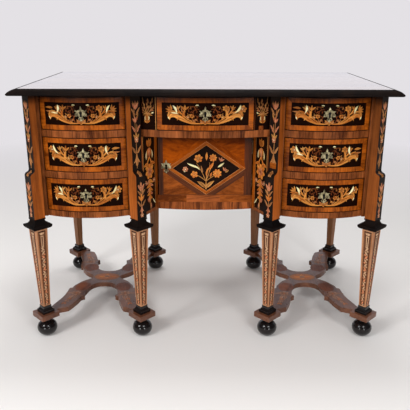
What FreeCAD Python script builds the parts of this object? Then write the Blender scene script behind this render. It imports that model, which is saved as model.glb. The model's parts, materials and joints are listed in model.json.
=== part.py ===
import FreeCAD, Part
import math
import os

os.makedirs("parts", exist_ok=True)
V = FreeCAD.Vector

# Overall sizes
desk_width = 1112.0
desk_depth = 604.0
desk_height = 790.0
top_thickness = 18.0
edge_moulding_width = 26.0
edge_nose_drop = 13.0

# How far the top stands out past the middles of the corner legs
side_overhang = 43.0
front_overhang = 44.0

# Feet, stretchers, collars and capitals, from the floor up
neck_radius = 12.0
bun_radius = 31.5
bun_pad_radius = 11.0
bun_height = 48.0
bun_neck_height = 15.0
stretcher_thickness = 17.0
collar_height = 24.0
collar_plinth_height = 9.0
collar_lip_height = 2.0
capital_height = 33.0

# Square sections, all set cornerwise in plan
leg_foot_side = 23.4
leg_head_side = 40.6
back_leg_foot_side = 20.0
back_leg_head_side = 31.0
collar_side = 39.4
collar_ease = 1.6
capital_side = 63.6
capital_lip = 1.0
capital_fillet_side = 36.8
capital_neck_side = 32.6
capital_fillet_height = 4.0
capital_edge_height = 4.0
capital_under_share = 0.27
block_side = 61.0
post_side = 35.4
back_post_side = 28.4

# Corner posts: the ornamented face steps back above the shoulder
post_set_back = 15.0
shoulder_above_base = 132.0
shoulder_rise = 22.0

# Case boards
side_board = 16.0
back_board = 14.0
back_board_inset = 8.0
shelf_board = 12.0
tongue = 10.0
outer_board_proud = 2.0

# Fronts, with the heights of their openings and rails from the bottom up
bottom_rail_height = 19.0
low_drawer_height = 104.0
mid_drawer_height = 104.0
top_drawer_height = 99.0
rail_height = 20.0
top_rail_height = 6.0
front_depth = 20.0
front_set_back = 23.0
front_bow = 27.0
stile_show = 6.0
stile_set_back = 17.0
frieze_set_back = 25.0
frieze_bow = 27.0
frieze_flank_width = 44.0

# Drawers
front_gap = 1.0
slide_lift = 0.5
box_side_gap = 1.5
box_wall = 8.0
box_floor = 7.0
box_below_front = 14.0
box_back_gap = 12.0

# Kneehole recess and its cupboard
recess_depth = 92.0
door_width = 292.0
door_thickness = 18.0
door_gap = 1.0
hinge_side_gap = 4.0
cheek_thickness = 14.0
sill_height = 45.0
sill_sag = 5.0
cheek_splay = 36.0
cheek_ledge = 9.0
cheek_set_back = 15.0
jamb_depth = 30.0

# Brass
plate_width = 41.0
plate_height = 45.0
plate_thickness = 2.0
door_plate_width = 36.0
door_plate_height = 44.0
door_plate_inset = 24.0
door_plate_drop = 8.0
keyhole_radius = 3.0
keyhole_slot = 2.6
keyhole_drop = 12.0
keyhole_depth = 10.0
hinge_barrel_radius = 1.8
hinge_bore_radius = 1.1
hinge_pin_radius = 0.9
hinge_length = 42.0
hinge_leaf_thickness = 1.2
hinge_leaf_width = 14.0
hinge_inset = 45.0
knuckle_gap = 0.4
knuckle_share = 1 / 3
keyhole_rise_share = 0.3
shield_quarter_share = 0.25

# Stretcher arms: shares of the half distance between the legs
waist_share = 0.31
crossing_share = 0.185
outer_edge_shares = ((0.40, 0.085), (0.52, 0.150), (0.625, 0.245), (0.680, 0.345))
outer_ear_shares = (0.745, 0.362)
outer_return_shares = ((0.755, 0.420), (0.775, 0.560), (0.850, 0.720))
inner_edge_shares = ((0.16, 0.205), (0.290, 0.285), (0.350, 0.420), (0.375, 0.535))
inner_ear_shares = (0.335, 0.572)
inner_return_shares = ((0.410, 0.600), (0.475, 0.740), (0.580, 0.890))

# Levels of the case, from the top down: the legs take up what is left
case_top = desk_height - top_thickness
top_rail_bottom = case_top - top_rail_height
level_top = top_rail_bottom - top_drawer_height
level_mid_head = level_top - rail_height
level_mid = level_mid_head - mid_drawer_height
level_low_head = level_mid - rail_height
level_low = level_low_head - low_drawer_height
case_bottom = level_low - bottom_rail_height
capital_bottom = case_bottom - capital_height
shoulder_low = case_bottom + shoulder_above_base

# Levels of the feet and stretchers, from the floor up
stretcher_bottom = bun_height + bun_neck_height
stretcher_top = stretcher_bottom + stretcher_thickness
collar_bottom = stretcher_top
leg_bottom = collar_bottom + collar_height

# Plan, from the cupboard door outwards: each corner leg stands under the top's corner
door_half = door_width / 2
recess_half = door_half + hinge_side_gap
cheek_front_x = recess_half + cheek_splay
inner_board_outer = cheek_front_x + cheek_ledge
inner_leg_x = inner_board_outer + side_board / 2
inner_board_inner = inner_leg_x + side_board / 2
outer_leg_x = desk_width / 2 - side_overhang
leg_y = desk_depth / 2 - front_overhang
back_face = leg_y - back_board_inset
back_inner = back_face - back_board
outer_board_face = outer_leg_x + outer_board_proud
outer_board_inner = outer_board_face - side_board
bay_middle = (outer_leg_x + inner_leg_x) / 2
half_diagonal_share = math.sqrt(0.5)
post_reach = post_side * half_diagonal_share
front_width = outer_leg_x - inner_leg_x - 2 * post_reach - 2 * stile_show
opening_half = front_width / 2 + front_gap
front_plane = -leg_y + front_set_back
frieze_plane = -leg_y + frieze_set_back
door_plane = -leg_y + recess_depth
cornerwise = 45.0
quarter_turn = 90.0
full_turn = 360.0

nodes = {}


def add(name, shape):
    nodes[name] = shape


def box(x0, x1, y0, y1, z0, z1):
    low_x = min(x0, x1)
    low_y = min(y0, y1)
    return Part.makeBox(abs(x1 - x0), abs(y1 - y0), z1 - z0, V(low_x, low_y, z0))


def arched_board(half, y0, y1, z0, z1, sag):
    """Upright board whose lower edge hangs in an arc, sag deep in the middle."""
    corners = [V(-half, y0, z0), V(-half, y0, z1), V(half, y0, z1), V(half, y0, z0)]
    edges = [Part.makeLine(corners[k], corners[k + 1]) for k in range(3)]
    edges.append(Part.Arc(corners[3], V(0, y0, z0 - sag), corners[0]).toShape())
    return Part.Face(Part.Wire(edges)).extrude(V(0, y1 - y0, 0))


def plan_solid(points, z0, z1):
    ring = [V(x, y, z0) for x, y in points]
    wire = Part.makePolygon(ring + ring[:1])
    return Part.Face(wire).extrude(V(0, 0, z1 - z0))


def turned(shape, angle, x, y):
    copy = shape.copy()
    copy.rotate(V(0, 0, 0), V(0, 0, 1), angle)
    copy.translate(V(x, y, 0))
    return copy


def mirrored(shape, x_dir, y_dir):
    return shape.mirror(V(0, 0, 0), V(x_dir, y_dir, 0))


def half_side_edges(path, sign):
    edges = []
    for step in path:
        ends = [V(sign * r, 0, z) for r, z in step]
        if len(ends) == 2:
            edges.append(Part.makeLine(ends[0], ends[1]))
        else:
            edges.append(Part.Arc(ends[0], ends[1], ends[2]).toShape())
    return edges


def moulded_square(path):
    """Solid of square plan whose four sides all show the moulding of path."""
    edges = half_side_edges(path, 1) + half_side_edges(path, -1)
    first = path[0][0]
    last = path[-1][-1]
    edges.append(Part.makeLine(V(-first[0], 0, first[1]), V(first[0], 0, first[1])))
    edges.append(Part.makeLine(V(-last[0], 0, last[1]), V(last[0], 0, last[1])))
    reach = max(r for step in path for r, z in step)
    face = Part.Face(Part.Wire(Part.__sortEdges__(edges)))
    face.translate(V(0, -reach, 0))
    run = face.extrude(V(0, 2 * reach, 0))
    return run.common(turned(run, quarter_turn, 0, 0))


def group(shapes):
    return Part.makeCompound(shapes)


def leg_places():
    places = []
    for row, y in (("front", -leg_y), ("back", leg_y)):
        for side, sign in (("left", -1), ("right", 1)):
            places.append((side + "_outer_" + row, sign * outer_leg_x, y, row))
            places.append((side + "_inner_" + row, sign * inner_leg_x, y, row))
    return places


# Top with its mitred edge
def top_edge():
    half_w = desk_width / 2
    half_d = desk_depth / 2
    nose_z = desk_height - edge_nose_drop
    radius = (edge_moulding_width ** 2 + edge_nose_drop ** 2) / (2 * edge_nose_drop)
    half_sweep = math.asin(edge_moulding_width / radius) / 2
    under = nose_z - case_top

    def run(half, other, across):
        edges = []
        arris = half - edge_moulding_width
        mid_r = arris + radius * math.sin(half_sweep)
        mid_z = desk_height - radius * (1 - math.cos(half_sweep))
        low_r = half - under * (1 - half_diagonal_share)
        low_z = nose_z - under * half_diagonal_share
        for sign in (1, -1):
            top_point = V(sign * arris, 0, desk_height)
            mid_point = V(sign * mid_r, 0, mid_z)
            nose = V(sign * half, 0, nose_z)
            foot = V(sign * (half - under), 0, case_top)
            edges.append(Part.Arc(top_point, mid_point, nose).toShape())
            edges.append(Part.Arc(nose, V(sign * low_r, 0, low_z), foot).toShape())
        edges.append(Part.makeLine(V(-arris, 0, desk_height), V(arris, 0, desk_height)))
        edges.append(Part.makeLine(V(under - half, 0, case_top), V(half - under, 0, case_top)))
        face = Part.Face(Part.Wire(Part.__sortEdges__(edges)))
        face.translate(V(0, -other, 0))
        solid = face.extrude(V(0, 2 * other, 0))
        return turned(solid, across, 0, 0)

    along = run(half_w, half_d, 0)
    across = run(half_d, half_w, quarter_turn)
    return along.common(across)


field_x = desk_width / 2 - edge_moulding_width
field_y = desk_depth / 2 - edge_moulding_width
top_board = box(-field_x, field_x, -field_y, field_y, case_top, desk_height)
add("top_board", top_board)
add("top_edge_moulding", top_edge().cut(top_board))


# Feet, stretchers and legs
def bun_foot():
    half = bun_height / 2
    pad = V(bun_pad_radius, 0, 0)
    belly = V(bun_radius, 0, half)
    crown = V(neck_radius, 0, bun_height)
    edges = [Part.Arc(pad, belly, crown).toShape()]
    edges.append(Part.makeLine(V(0, 0, 0), pad))
    edges.append(Part.makeLine(crown, V(neck_radius, 0, stretcher_bottom)))
    edges.append(Part.makeLine(V(neck_radius, 0, stretcher_bottom), V(0, 0, stretcher_bottom)))
    edges.append(Part.makeLine(V(0, 0, stretcher_bottom), V(0, 0, 0)))
    face = Part.Face(Part.Wire(Part.__sortEdges__(edges)))
    return face.revolve(V(0, 0, 0), V(0, 0, 1), full_turn)


def collar():
    half = collar_side / 2
    neck = leg_foot_side / 2 + collar_ease
    plinth = collar_bottom + collar_plinth_height
    lip = leg_bottom - collar_lip_height
    hollow = (neck + (half - neck) * (1 - half_diagonal_share), lip - (lip - plinth) * half_diagonal_share)
    path = [
        ((half, collar_bottom), (half, plinth)),
        ((half, plinth), hollow, (neck, lip)),
        ((neck, lip), (neck, leg_bottom)),
    ]
    return moulded_square(path)


def capital(head_side):
    scale = head_side / leg_head_side
    half = capital_side / 2 * scale
    lip = head_side / 2 + capital_lip
    neck = capital_neck_side / 2
    fillet = capital_fillet_side / 2
    edge = capital_bottom + (case_bottom - capital_bottom) * capital_under_share
    brim = edge + capital_edge_height
    throat = case_bottom - capital_fillet_height
    swell = (lip + (half - lip) * half_diagonal_share, edge - (edge - capital_bottom) * half_diagonal_share)
    hollow = (neck + (half - neck) * (1 - half_diagonal_share), throat - (throat - brim) * half_diagonal_share)
    path = [
        ((lip, capital_bottom), swell, (half, edge)),
        ((half, edge), (half, brim)),
        ((half, brim), hollow, (neck, throat)),
        ((neck, throat), (fillet, throat)),
        ((fillet, throat), (fillet, case_bottom)),
    ]
    return moulded_square(path)


def tapered_leg(foot_side, head_side):
    rings = []
    for side, z in ((foot_side, leg_bottom), (head_side, capital_bottom)):
        h = side / 2
        ring = [V(-h, -h, z), V(h, -h, z), V(h, h, z), V(-h, h, z)]
        rings.append(Part.makePolygon(ring + ring[:1]))
    return Part.makeLoft(rings, True, True)


def stretcher():
    half_x = (outer_leg_x - inner_leg_x) / 2
    thick = stretcher_top - stretcher_bottom

    def at(share_x, share_y):
        return V(-share_x * half_x, -share_y * leg_y, stretcher_bottom)

    def curve(points, start, end):
        spline = Part.BSplineCurve()
        if start is None:
            spline.interpolate(points)
        else:
            spline.interpolate(Points=points, InitialTangent=start, FinalTangent=end)
        return spline.toShape()

    waist = at(waist_share, 0)
    crossing = at(0, crossing_share)
    ear_out = at(*outer_ear_shares)
    ear_in = at(*inner_ear_shares)
    outer = [waist] + [at(*p) for p in outer_edge_shares]
    outer_back = [at(*p) for p in outer_return_shares]
    inner = [crossing] + [at(*p) for p in inner_edge_shares]
    inner_back = [at(*p) for p in inner_return_shares]
    block = at(1, 1)
    edges = [curve(outer, V(0, -1, 0), V(0, -1, 0))]
    edges.append(Part.makeLine(outer[-1], ear_out))
    edges.append(Part.makeLine(ear_out, outer_back[0]))
    edges.append(curve(outer_back, None, None))
    edges.append(Part.makeLine(outer_back[-1], block))
    edges.append(Part.makeLine(block, inner_back[-1]))
    edges.append(curve(inner_back[::-1], None, None))
    edges.append(Part.makeLine(inner_back[0], ear_in))
    edges.append(Part.makeLine(ear_in, inner[-1]))
    edges.append(curve(inner, V(-1, 0, 0), V(0, -1, 0)))
    edges.append(Part.makeLine(crossing, at(0, 0)))
    edges.append(Part.makeLine(at(0, 0), waist))
    arm = Part.Face(Part.Wire(Part.__sortEdges__(edges))).extrude(V(0, 0, thick))
    h = block_side / 2
    pad = Part.makeBox(block_side, block_side, thick, V(-h, -h, stretcher_bottom))
    arm = arm.fuse(turned(pad, cornerwise, -half_x, -leg_y))
    pair = arm.fuse(mirrored(arm, 1, 0))
    return pair.fuse(mirrored(pair, 0, 1)).removeSplitter()


places = leg_places()
foot = bun_foot()
ring = collar()
add("bun_feet", group([turned(foot, 0, x, y) for name, x, y, row in places]))
add("leg_collars", group([turned(ring, cornerwise, x, y) for name, x, y, row in places]))
base = stretcher()
add("left_stretcher", turned(base, 0, -bay_middle, 0))
add("right_stretcher", turned(base, 0, bay_middle, 0))
capitals = []
for name, x, y, row in places:
    front_row = row == "front"
    foot_side = leg_foot_side if front_row else back_leg_foot_side
    head_side = leg_head_side if front_row else back_leg_head_side
    add(name + "_leg", turned(tapered_leg(foot_side, head_side), cornerwise, x, y))
    capitals.append(turned(capital(head_side), cornerwise, x, y))
add("leg_capitals", group(capitals))


# Boards of the case
def side_boards():
    front = -leg_y + tongue
    made = {}
    for side, sign in (("left", -1), ("right", 1)):
        made[side + "_outer_side"] = box(
            sign * outer_board_inner, sign * outer_board_face, front, back_inner, case_bottom, case_top)
        made[side + "_inner_side"] = box(
            sign * inner_board_outer, sign * inner_board_inner, front, back_inner, case_bottom, case_top)
    return made


panels = side_boards()
back = box(-outer_board_face, outer_board_face, back_inner, back_face, case_bottom, case_top)
for name, shape in panels.items():
    add(name, shape)
add("back_panel", back)
boards = group([shape for shape in panels.values()] + [back])


def front_post():
    """Post whose ornamented face looks along -Y before it is turned cornerwise."""
    h = post_side / 2
    stepped = -h + post_set_back
    top_of_step = shoulder_low + shoulder_rise
    middle = (-h + post_set_back / 2, shoulder_low + shoulder_rise / 2)
    low_mid = (-h + post_set_back * (1 - half_diagonal_share) / 2,
               shoulder_low + shoulder_rise * half_diagonal_share / 2)
    high_mid = (middle[0] + post_set_back * half_diagonal_share / 2,
                middle[1] + shoulder_rise * (1 - half_diagonal_share) / 2)

    def at(point):
        return V(-h, point[0], point[1])

    edges = [Part.makeLine(at((-h, case_bottom)), at((-h, shoulder_low)))]
    edges.append(Part.Arc(at((-h, shoulder_low)), at(low_mid), at(middle)).toShape())
    edges.append(Part.Arc(at(middle), at(high_mid), at((stepped, top_of_step))).toShape())
    edges.append(Part.makeLine(at((stepped, top_of_step)), at((stepped, case_top))))
    edges.append(Part.makeLine(at((stepped, case_top)), at((h, case_top))))
    edges.append(Part.makeLine(at((h, case_top)), at((h, case_bottom))))
    edges.append(Part.makeLine(at((h, case_bottom)), at((-h, case_bottom))))
    face = Part.Face(Part.Wire(Part.__sortEdges__(edges)))
    return face.extrude(V(post_side, 0, 0))


post = front_post()
front_posts = []
for side, sign in (("left", -1), ("right", 1)):
    outer_post = turned(post, sign * cornerwise, sign * outer_leg_x, -leg_y).cut(boards)
    inner_post = turned(post, -sign * cornerwise, sign * inner_leg_x, -leg_y).cut(boards)
    add(side + "_outer_front_post", outer_post)
    add(side + "_inner_front_post", inner_post)
    front_posts.append(outer_post)
    front_posts.append(inner_post)
post_envelope = group(front_posts)

back_posts = []
half_back = back_post_side / 2
for x in (-outer_leg_x, -inner_leg_x, inner_leg_x, outer_leg_x):
    square = box(-half_back, half_back, -half_back, half_back, case_bottom, case_top)
    back_posts.append(turned(square, cornerwise, x, leg_y).cut(boards))
add("back_posts", group(back_posts))


# Bowed fronts
def bow_radius(half_width, bow):
    return (half_width ** 2 + bow ** 2) / (2 * bow)


def bowed(x0, x1, z0, z1, half_width, bow, plane, depth):
    """Piece of a front between x0 and x1, bowed forward of plane by bow at x = 0."""
    radius = bow_radius(half_width, bow)
    centre_y = plane - bow + radius

    def on_arc(x, y_shift):
        return V(x, centre_y - math.sqrt(radius ** 2 - x ** 2) + y_shift, z0)

    middle = (x0 + x1) / 2
    a = on_arc(x0, 0)
    b = on_arc(x1, 0)
    c = on_arc(x1, depth)
    d = on_arc(x0, depth)
    edges = [Part.Arc(a, on_arc(middle, 0), b).toShape()]
    edges.append(Part.makeLine(b, c))
    edges.append(Part.Arc(c, on_arc(middle, depth), d).toShape())
    edges.append(Part.makeLine(d, a))
    return Part.Face(Part.Wire(Part.__sortEdges__(edges))).extrude(V(0, 0, z1 - z0))


def pedestal_piece(half, z0, z1, depth):
    return bowed(-half, half, z0, z1, front_width / 2, front_bow, front_plane, depth)


def frieze_piece(x0, x1, z0, z1, depth):
    return bowed(x0, x1, z0, z1, cheek_front_x, frieze_bow, frieze_plane, depth)


def behind(half, half_width, bow, plane):
    """Everything behind a bowed front of the usual depth."""
    region = bowed(-half, half, case_bottom, case_top, half_width, bow, plane, desk_depth)
    region.translate(V(0, front_depth, 0))
    return region


bay_half_outer = outer_board_inner - bay_middle
bay_half_inner = bay_middle - inner_board_inner
rail_half = max(bay_half_outer, bay_half_inner)
rail_levels = (
    (case_bottom, level_low),
    (level_low_head, level_mid),
    (level_mid_head, level_top),
    (top_rail_bottom, case_top),
)


def pedestal_frame(sign):
    stile_front = -leg_y + stile_set_back
    stile_back = front_plane + front_depth
    parts = [pedestal_piece(rail_half, z0, z1, front_depth) for z0, z1 in rail_levels]
    frame = parts[0].multiFuse(parts[1:])
    frame.translate(V(sign * bay_middle, 0, 0))
    outer = (sign * (bay_middle + opening_half), sign * outer_board_inner)
    inner = (sign * inner_board_inner, sign * (bay_middle - opening_half))
    for x0, x1 in (outer, inner):
        frame = frame.fuse(box(x0, x1, stile_front, stile_back, case_bottom, case_top))
    return frame.cut(post_envelope).cut(boards).removeSplitter()


add("left_front_frame", pedestal_frame(-1))
add("right_front_frame", pedestal_frame(1))

frieze_edge = cheek_front_x - frieze_flank_width + front_gap
frieze_half = frieze_edge - front_gap


def frieze_frame():
    pieces = [frieze_piece(-inner_board_outer, inner_board_outer, level_mid_head, level_top, front_depth)]
    pieces.append(frieze_piece(-inner_board_outer, inner_board_outer, top_rail_bottom, case_top, front_depth))
    pieces.append(frieze_piece(-inner_board_outer, -frieze_edge, level_mid_head, case_top, front_depth))
    pieces.append(frieze_piece(frieze_edge, inner_board_outer, level_mid_head, case_top, front_depth))
    frame = pieces[0].multiFuse(pieces[1:])
    return frame.cut(post_envelope).removeSplitter()


frieze = frieze_frame()
add("frieze_frame", frieze)


def recess_cheek(sign):
    front_y = -leg_y + cheek_set_back
    jamb_back = door_plane + jamb_depth
    jamb_x = recess_half + cheek_thickness
    points = [
        (sign * inner_board_outer, front_y),
        (sign * cheek_front_x, front_y),
        (sign * recess_half, door_plane),
        (sign * recess_half, jamb_back),
        (sign * jamb_x, jamb_back),
        (sign * jamb_x, door_plane),
        (sign * inner_board_outer, front_y + jamb_depth),
    ]
    return plan_solid(points, case_bottom, level_mid_head).cut(post_envelope)


add("left_recess_cheek", recess_cheek(-1))
add("right_recess_cheek", recess_cheek(1))
sill_back = door_plane + front_depth
sill_top = case_bottom + sill_height
add("cupboard_sill", arched_board(recess_half, door_plane, sill_back, case_bottom, sill_top, sill_sag))

bottoms = []
dust_boards = []
for side, sign in (("left", -1), ("right", 1)):
    region = behind(rail_half, front_width / 2, front_bow, front_plane)
    region.translate(V(sign * bay_middle, 0, 0))
    taken = group([nodes[side + "_front_frame"], post_envelope])
    for top_level, pile in ((level_low, bottoms), (level_mid, dust_boards), (level_top, dust_boards)):
        blank = box(sign * inner_board_inner, sign * outer_board_inner,
                    front_plane - front_bow, back_inner, top_level - shelf_board, top_level)
        pile.append(blank.common(region).cut(taken))
centre_region = behind(inner_board_outer, cheek_front_x, frieze_bow, frieze_plane)
centre_board = box(-inner_board_outer, inner_board_outer,
                   frieze_plane - frieze_bow, back_inner, level_mid_head, level_top)
dust_boards.append(centre_board.common(centre_region).cut(post_envelope))
bottoms.append(box(
    -inner_board_outer, inner_board_outer, sill_back, back_inner, case_bottom, case_bottom + shelf_board
).cut(group([nodes["left_recess_cheek"], nodes["right_recess_cheek"]])))
add("case_bottoms", group(bottoms))
add("dust_boards", group(dust_boards))


# Drawers
def keyhole(y_front, z_middle, depth):
    """Round eye with a slot below it, run through along Y."""
    z_eye = z_middle + keyhole_drop * keyhole_rise_share
    eye = Part.makeCylinder(keyhole_radius, 2 * depth, V(0, y_front - depth, z_eye), V(0, 1, 0))
    half = keyhole_slot / 2
    slot = box(-half, half, y_front - depth, y_front + depth, z_eye - keyhole_drop, z_eye)
    return eye.fuse(slot)


def shield(width, height, y_front, z_middle):
    """Escutcheon with a rounded foot and a pointed head, lying on the front."""
    half = width / 2
    top_z = z_middle + height / 2
    low_z = z_middle - height / 2
    shoulder_z = z_middle + height * shield_quarter_share
    y = y_front + plate_thickness
    left = V(-half, y, shoulder_z)
    right = V(half, y, shoulder_z)
    waist_x = half * half_diagonal_share
    waist_z = z_middle - height * shield_quarter_share
    edges = [Part.Arc(left, V(-waist_x, y, waist_z), V(0, y, low_z)).toShape()]
    edges.append(Part.Arc(V(0, y, low_z), V(waist_x, y, waist_z), right).toShape())
    edges.append(Part.makeLine(right, V(0, y, top_z)))
    edges.append(Part.makeLine(V(0, y, top_z), left))
    face = Part.Face(Part.Wire(Part.__sortEdges__(edges)))
    return face.extrude(V(0, -2 * plate_thickness, 0))


def drawer(name, x_middle, z0, z1, half_width, radius_half, bow, plane):
    """Bowed front, open box behind it and escutcheon, made about x = 0 and moved."""
    low = z0 + front_gap
    high = z1 - front_gap
    middle_z = (low + high) / 2
    front = bowed(-half_width, half_width, low, high, radius_half, bow, plane, front_depth)
    y_front = plane - bow
    hole = keyhole(y_front, middle_z, keyhole_depth)
    plate = shield(plate_width, plate_height, y_front, middle_z).cut(front).cut(hole)
    front = front.cut(hole)
    box_half = half_width + front_gap - box_side_gap
    box_low = z0 + slide_lift
    box_high = z1 - box_below_front
    box_back = back_inner - box_back_gap
    outer = box(-box_half, box_half, y_front, box_back, box_low, box_high)
    inner = box(
        -box_half + box_wall, box_half - box_wall, y_front, box_back - box_wall, box_low + box_floor, box_high)
    body = outer.cut(inner).common(behind(half_width, radius_half, bow, plane))
    for part_name, shape in (("front", front), ("box", body), ("escutcheon", plate)):
        shape.translate(V(x_middle, 0, 0))
        add(name + "_" + part_name, shape)


rows = (("lower", level_low, level_low_head), ("middle", level_mid, level_mid_head),
        ("upper", level_top, top_rail_bottom))
for side, sign in (("left", -1), ("right", 1)):
    for row, z0, z1 in rows:
        drawer(side + "_" + row + "_drawer", sign * bay_middle, z0, z1,
               front_width / 2, front_width / 2, front_bow, front_plane)
drawer("frieze_drawer", 0, level_top, top_rail_bottom, frieze_half, cheek_front_x, frieze_bow, frieze_plane)

# Cupboard door and its hinges
door_low = sill_top + door_gap
door_high = level_mid_head - door_gap
door_middle = (door_low + door_high) / 2
lock_middle = door_middle - door_plate_drop
door_hole = keyhole(door_plane, lock_middle, keyhole_depth)
door_hole.translate(V(-door_half + door_plate_inset, 0, 0))
door = box(-door_half, door_half, door_plane, door_plane + door_thickness, door_low, door_high)
door_plate = shield(door_plate_width, door_plate_height, door_plane, lock_middle)
door_plate.translate(V(-door_half + door_plate_inset, 0, 0))
add("cupboard_door_escutcheon", door_plate.cut(door).cut(door_hole))
add("cupboard_door", door.cut(door_hole))

pin_x = door_half + hinge_side_gap / 2
pin_y = door_plane - hinge_barrel_radius


def hinge_pair():
    door_parts = []
    case_parts = []
    knuckle = hinge_length * knuckle_share
    for z_mid in (door_low + hinge_inset, door_high - hinge_inset):
        z0 = z_mid - hinge_length / 2
        leaf_end = pin_y + hinge_leaf_width
        leaf = box(door_half, door_half + hinge_leaf_thickness, pin_y, leaf_end, z0, z0 + hinge_length)
        mate = box(recess_half - hinge_leaf_thickness, recess_half, pin_y, leaf_end, z0, z0 + hinge_length)
        barrel = Part.makeCylinder(hinge_barrel_radius, hinge_length, V(pin_x, pin_y, z0))
        pin = Part.makeCylinder(hinge_pin_radius, hinge_length, V(pin_x, pin_y, z0))
        bore = Part.makeCylinder(hinge_bore_radius, hinge_length, V(pin_x, pin_y, z0))
        span = hinge_barrel_radius * 2
        middle_zone = box(pin_x - span, pin_x + span, pin_y - span, pin_y + span,
                          z0 + knuckle, z0 + 2 * knuckle)
        clear_zone = box(pin_x - span, pin_x + span, pin_y - span, pin_y + span,
                         z0 + knuckle - knuckle_gap, z0 + 2 * knuckle + knuckle_gap)
        clear_barrel = Part.makeCylinder(
            hinge_barrel_radius + knuckle_gap, hinge_length, V(pin_x, pin_y, z0))
        case_barrel = barrel.common(middle_zone)
        case_leaf = mate.cut(clear_barrel.cut(middle_zone))
        case_parts.append(case_leaf.fuse(case_barrel).cut(bore))
        door_leaf = leaf.cut(clear_barrel.common(clear_zone))
        door_parts.append(door_leaf.fuse(barrel.cut(clear_zone)).fuse(pin))
    return door_parts, case_parts


door_leaves, case_leaves = hinge_pair()
add("door_hinge_leaves", group(door_leaves))
add("case_hinge_leaves", group(case_leaves))

for name, shape in nodes.items():
    shape.exportStep("parts/" + name + ".step")
    size = shape.BoundBox
    print(name, len(shape.Solids), shape.isValid(),
          round(size.XLength, 1), round(size.YLength, 1), round(size.ZLength, 1))
print("sub-parts", len(nodes))
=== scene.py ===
# %% [markdown]
# A marquetry writing desk
#
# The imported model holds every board, drawer, leg and foot of the desk at its real size.
# This lesson gives it its finishes: figured veneers, black polish, old brass, and above all
# the floral marquetry that covers its fronts, posts, legs and stretchers.
# The model is loaded first, because every new piece is laid on a board that is already there.

# %% Load the desk
import json
import math
import random

import bmesh
import bpy
from mathutils import Matrix, Vector

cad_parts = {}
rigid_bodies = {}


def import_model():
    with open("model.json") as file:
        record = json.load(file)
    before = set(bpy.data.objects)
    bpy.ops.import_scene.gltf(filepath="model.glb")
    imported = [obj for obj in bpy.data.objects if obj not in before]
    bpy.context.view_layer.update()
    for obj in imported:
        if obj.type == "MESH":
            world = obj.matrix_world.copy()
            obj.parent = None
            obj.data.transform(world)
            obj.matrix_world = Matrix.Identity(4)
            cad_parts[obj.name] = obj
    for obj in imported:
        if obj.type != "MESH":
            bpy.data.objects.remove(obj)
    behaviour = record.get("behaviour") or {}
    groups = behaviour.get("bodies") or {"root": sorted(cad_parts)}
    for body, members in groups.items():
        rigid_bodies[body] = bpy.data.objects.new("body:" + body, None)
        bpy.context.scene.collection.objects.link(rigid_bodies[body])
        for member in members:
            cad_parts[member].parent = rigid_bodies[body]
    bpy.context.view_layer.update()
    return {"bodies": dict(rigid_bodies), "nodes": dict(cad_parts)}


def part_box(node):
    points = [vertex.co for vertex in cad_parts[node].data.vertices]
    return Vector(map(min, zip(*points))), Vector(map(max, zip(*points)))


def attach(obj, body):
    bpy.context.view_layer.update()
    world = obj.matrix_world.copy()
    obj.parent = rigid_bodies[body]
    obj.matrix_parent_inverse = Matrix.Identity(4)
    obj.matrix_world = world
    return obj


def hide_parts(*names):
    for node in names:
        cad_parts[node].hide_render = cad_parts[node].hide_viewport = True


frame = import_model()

nodes = frame["nodes"]

# %% [markdown]
# The camera
#
# The desk was photographed from in front and a little above, about 1.6 m from its front.
# The camera stands where the corners of the top, the capitals and the feet of the real desk
# fall on the same spots of the picture. Its aim is built from three directions, so that the
# slight turn and tilt of a hand-held camera are kept.

# %% Camera
picture_side = 410
focal_pixels = 559.172
sensor_width = 36.0
camera_place = Vector((-0.002895, -1.87011, 0.969859))
camera_down = math.radians(18.14)
camera_turn = math.radians(0.101)
camera_roll = math.radians(-0.178)

aim = Vector((math.sin(camera_turn) * math.cos(camera_down),
              math.cos(camera_turn) * math.cos(camera_down),
              -math.sin(camera_down)))
level_right = Vector((math.cos(camera_turn), -math.sin(camera_turn), 0))
level_down = aim.cross(level_right)
right = level_right * math.cos(camera_roll) + level_down * math.sin(camera_roll)
down = level_down * math.cos(camera_roll) - level_right * math.sin(camera_roll)

camera_data = bpy.data.cameras.new("camera")
camera_data.sensor_width = sensor_width
camera_data.lens = focal_pixels / picture_side * sensor_width
camera = bpy.data.objects.new("camera", camera_data)
bpy.context.scene.collection.objects.link(camera)
turned = Matrix((right, -down, -aim)).transposed().to_4x4()
camera.matrix_world = Matrix.Translation(camera_place) @ turned
bpy.context.scene.camera = camera
print("lens", round(camera_data.lens, 2), "mm")

# %% [markdown]
# Colours
#
# Colours are easiest to pick as a screen shows them, from 0 to 255. The shaders work in
# linear light, so one helper turns the first into the second.

# %% Colours
def shown(red, green, blue):
    """A screen colour, 0 to 255, as the linear colour that a shader wants."""
    def linear(value):
        value = value / 255
        return value / 12.92 if value <= 0.04045 else ((value + 0.055) / 1.055) ** 2.4
    return (linear(red), linear(green), linear(blue), 1.0)


print("mid grey", [round(c, 3) for c in shown(128, 128, 128)])

# %% [markdown]
# Shader groups
#
# Every wood on the desk shows the same three things: streaks along its grain, slow changes
# of colour, and an old polish that is smooth here and dull there. Each effect is a node
# group, built once, and every finish then sets its own values on it.

# %% Group builder
def new_group(name, inputs, outputs):
    """A shader group with named sockets; a number makes a float socket with that value."""
    tree = bpy.data.node_groups.new(name, "ShaderNodeTree")
    for direction, sockets in (("INPUT", inputs), ("OUTPUT", outputs)):
        for socket_name, kind in sockets.items():
            is_value = isinstance(kind, float)
            socket = tree.interface.new_socket(name=socket_name, in_out=direction,
                                               socket_type="NodeSocket" + ("Float" if is_value else kind))
            if is_value:
                socket.default_value = kind
    return tree, tree.nodes.new("NodeGroupInput").outputs, tree.nodes.new("NodeGroupOutput").inputs


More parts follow.
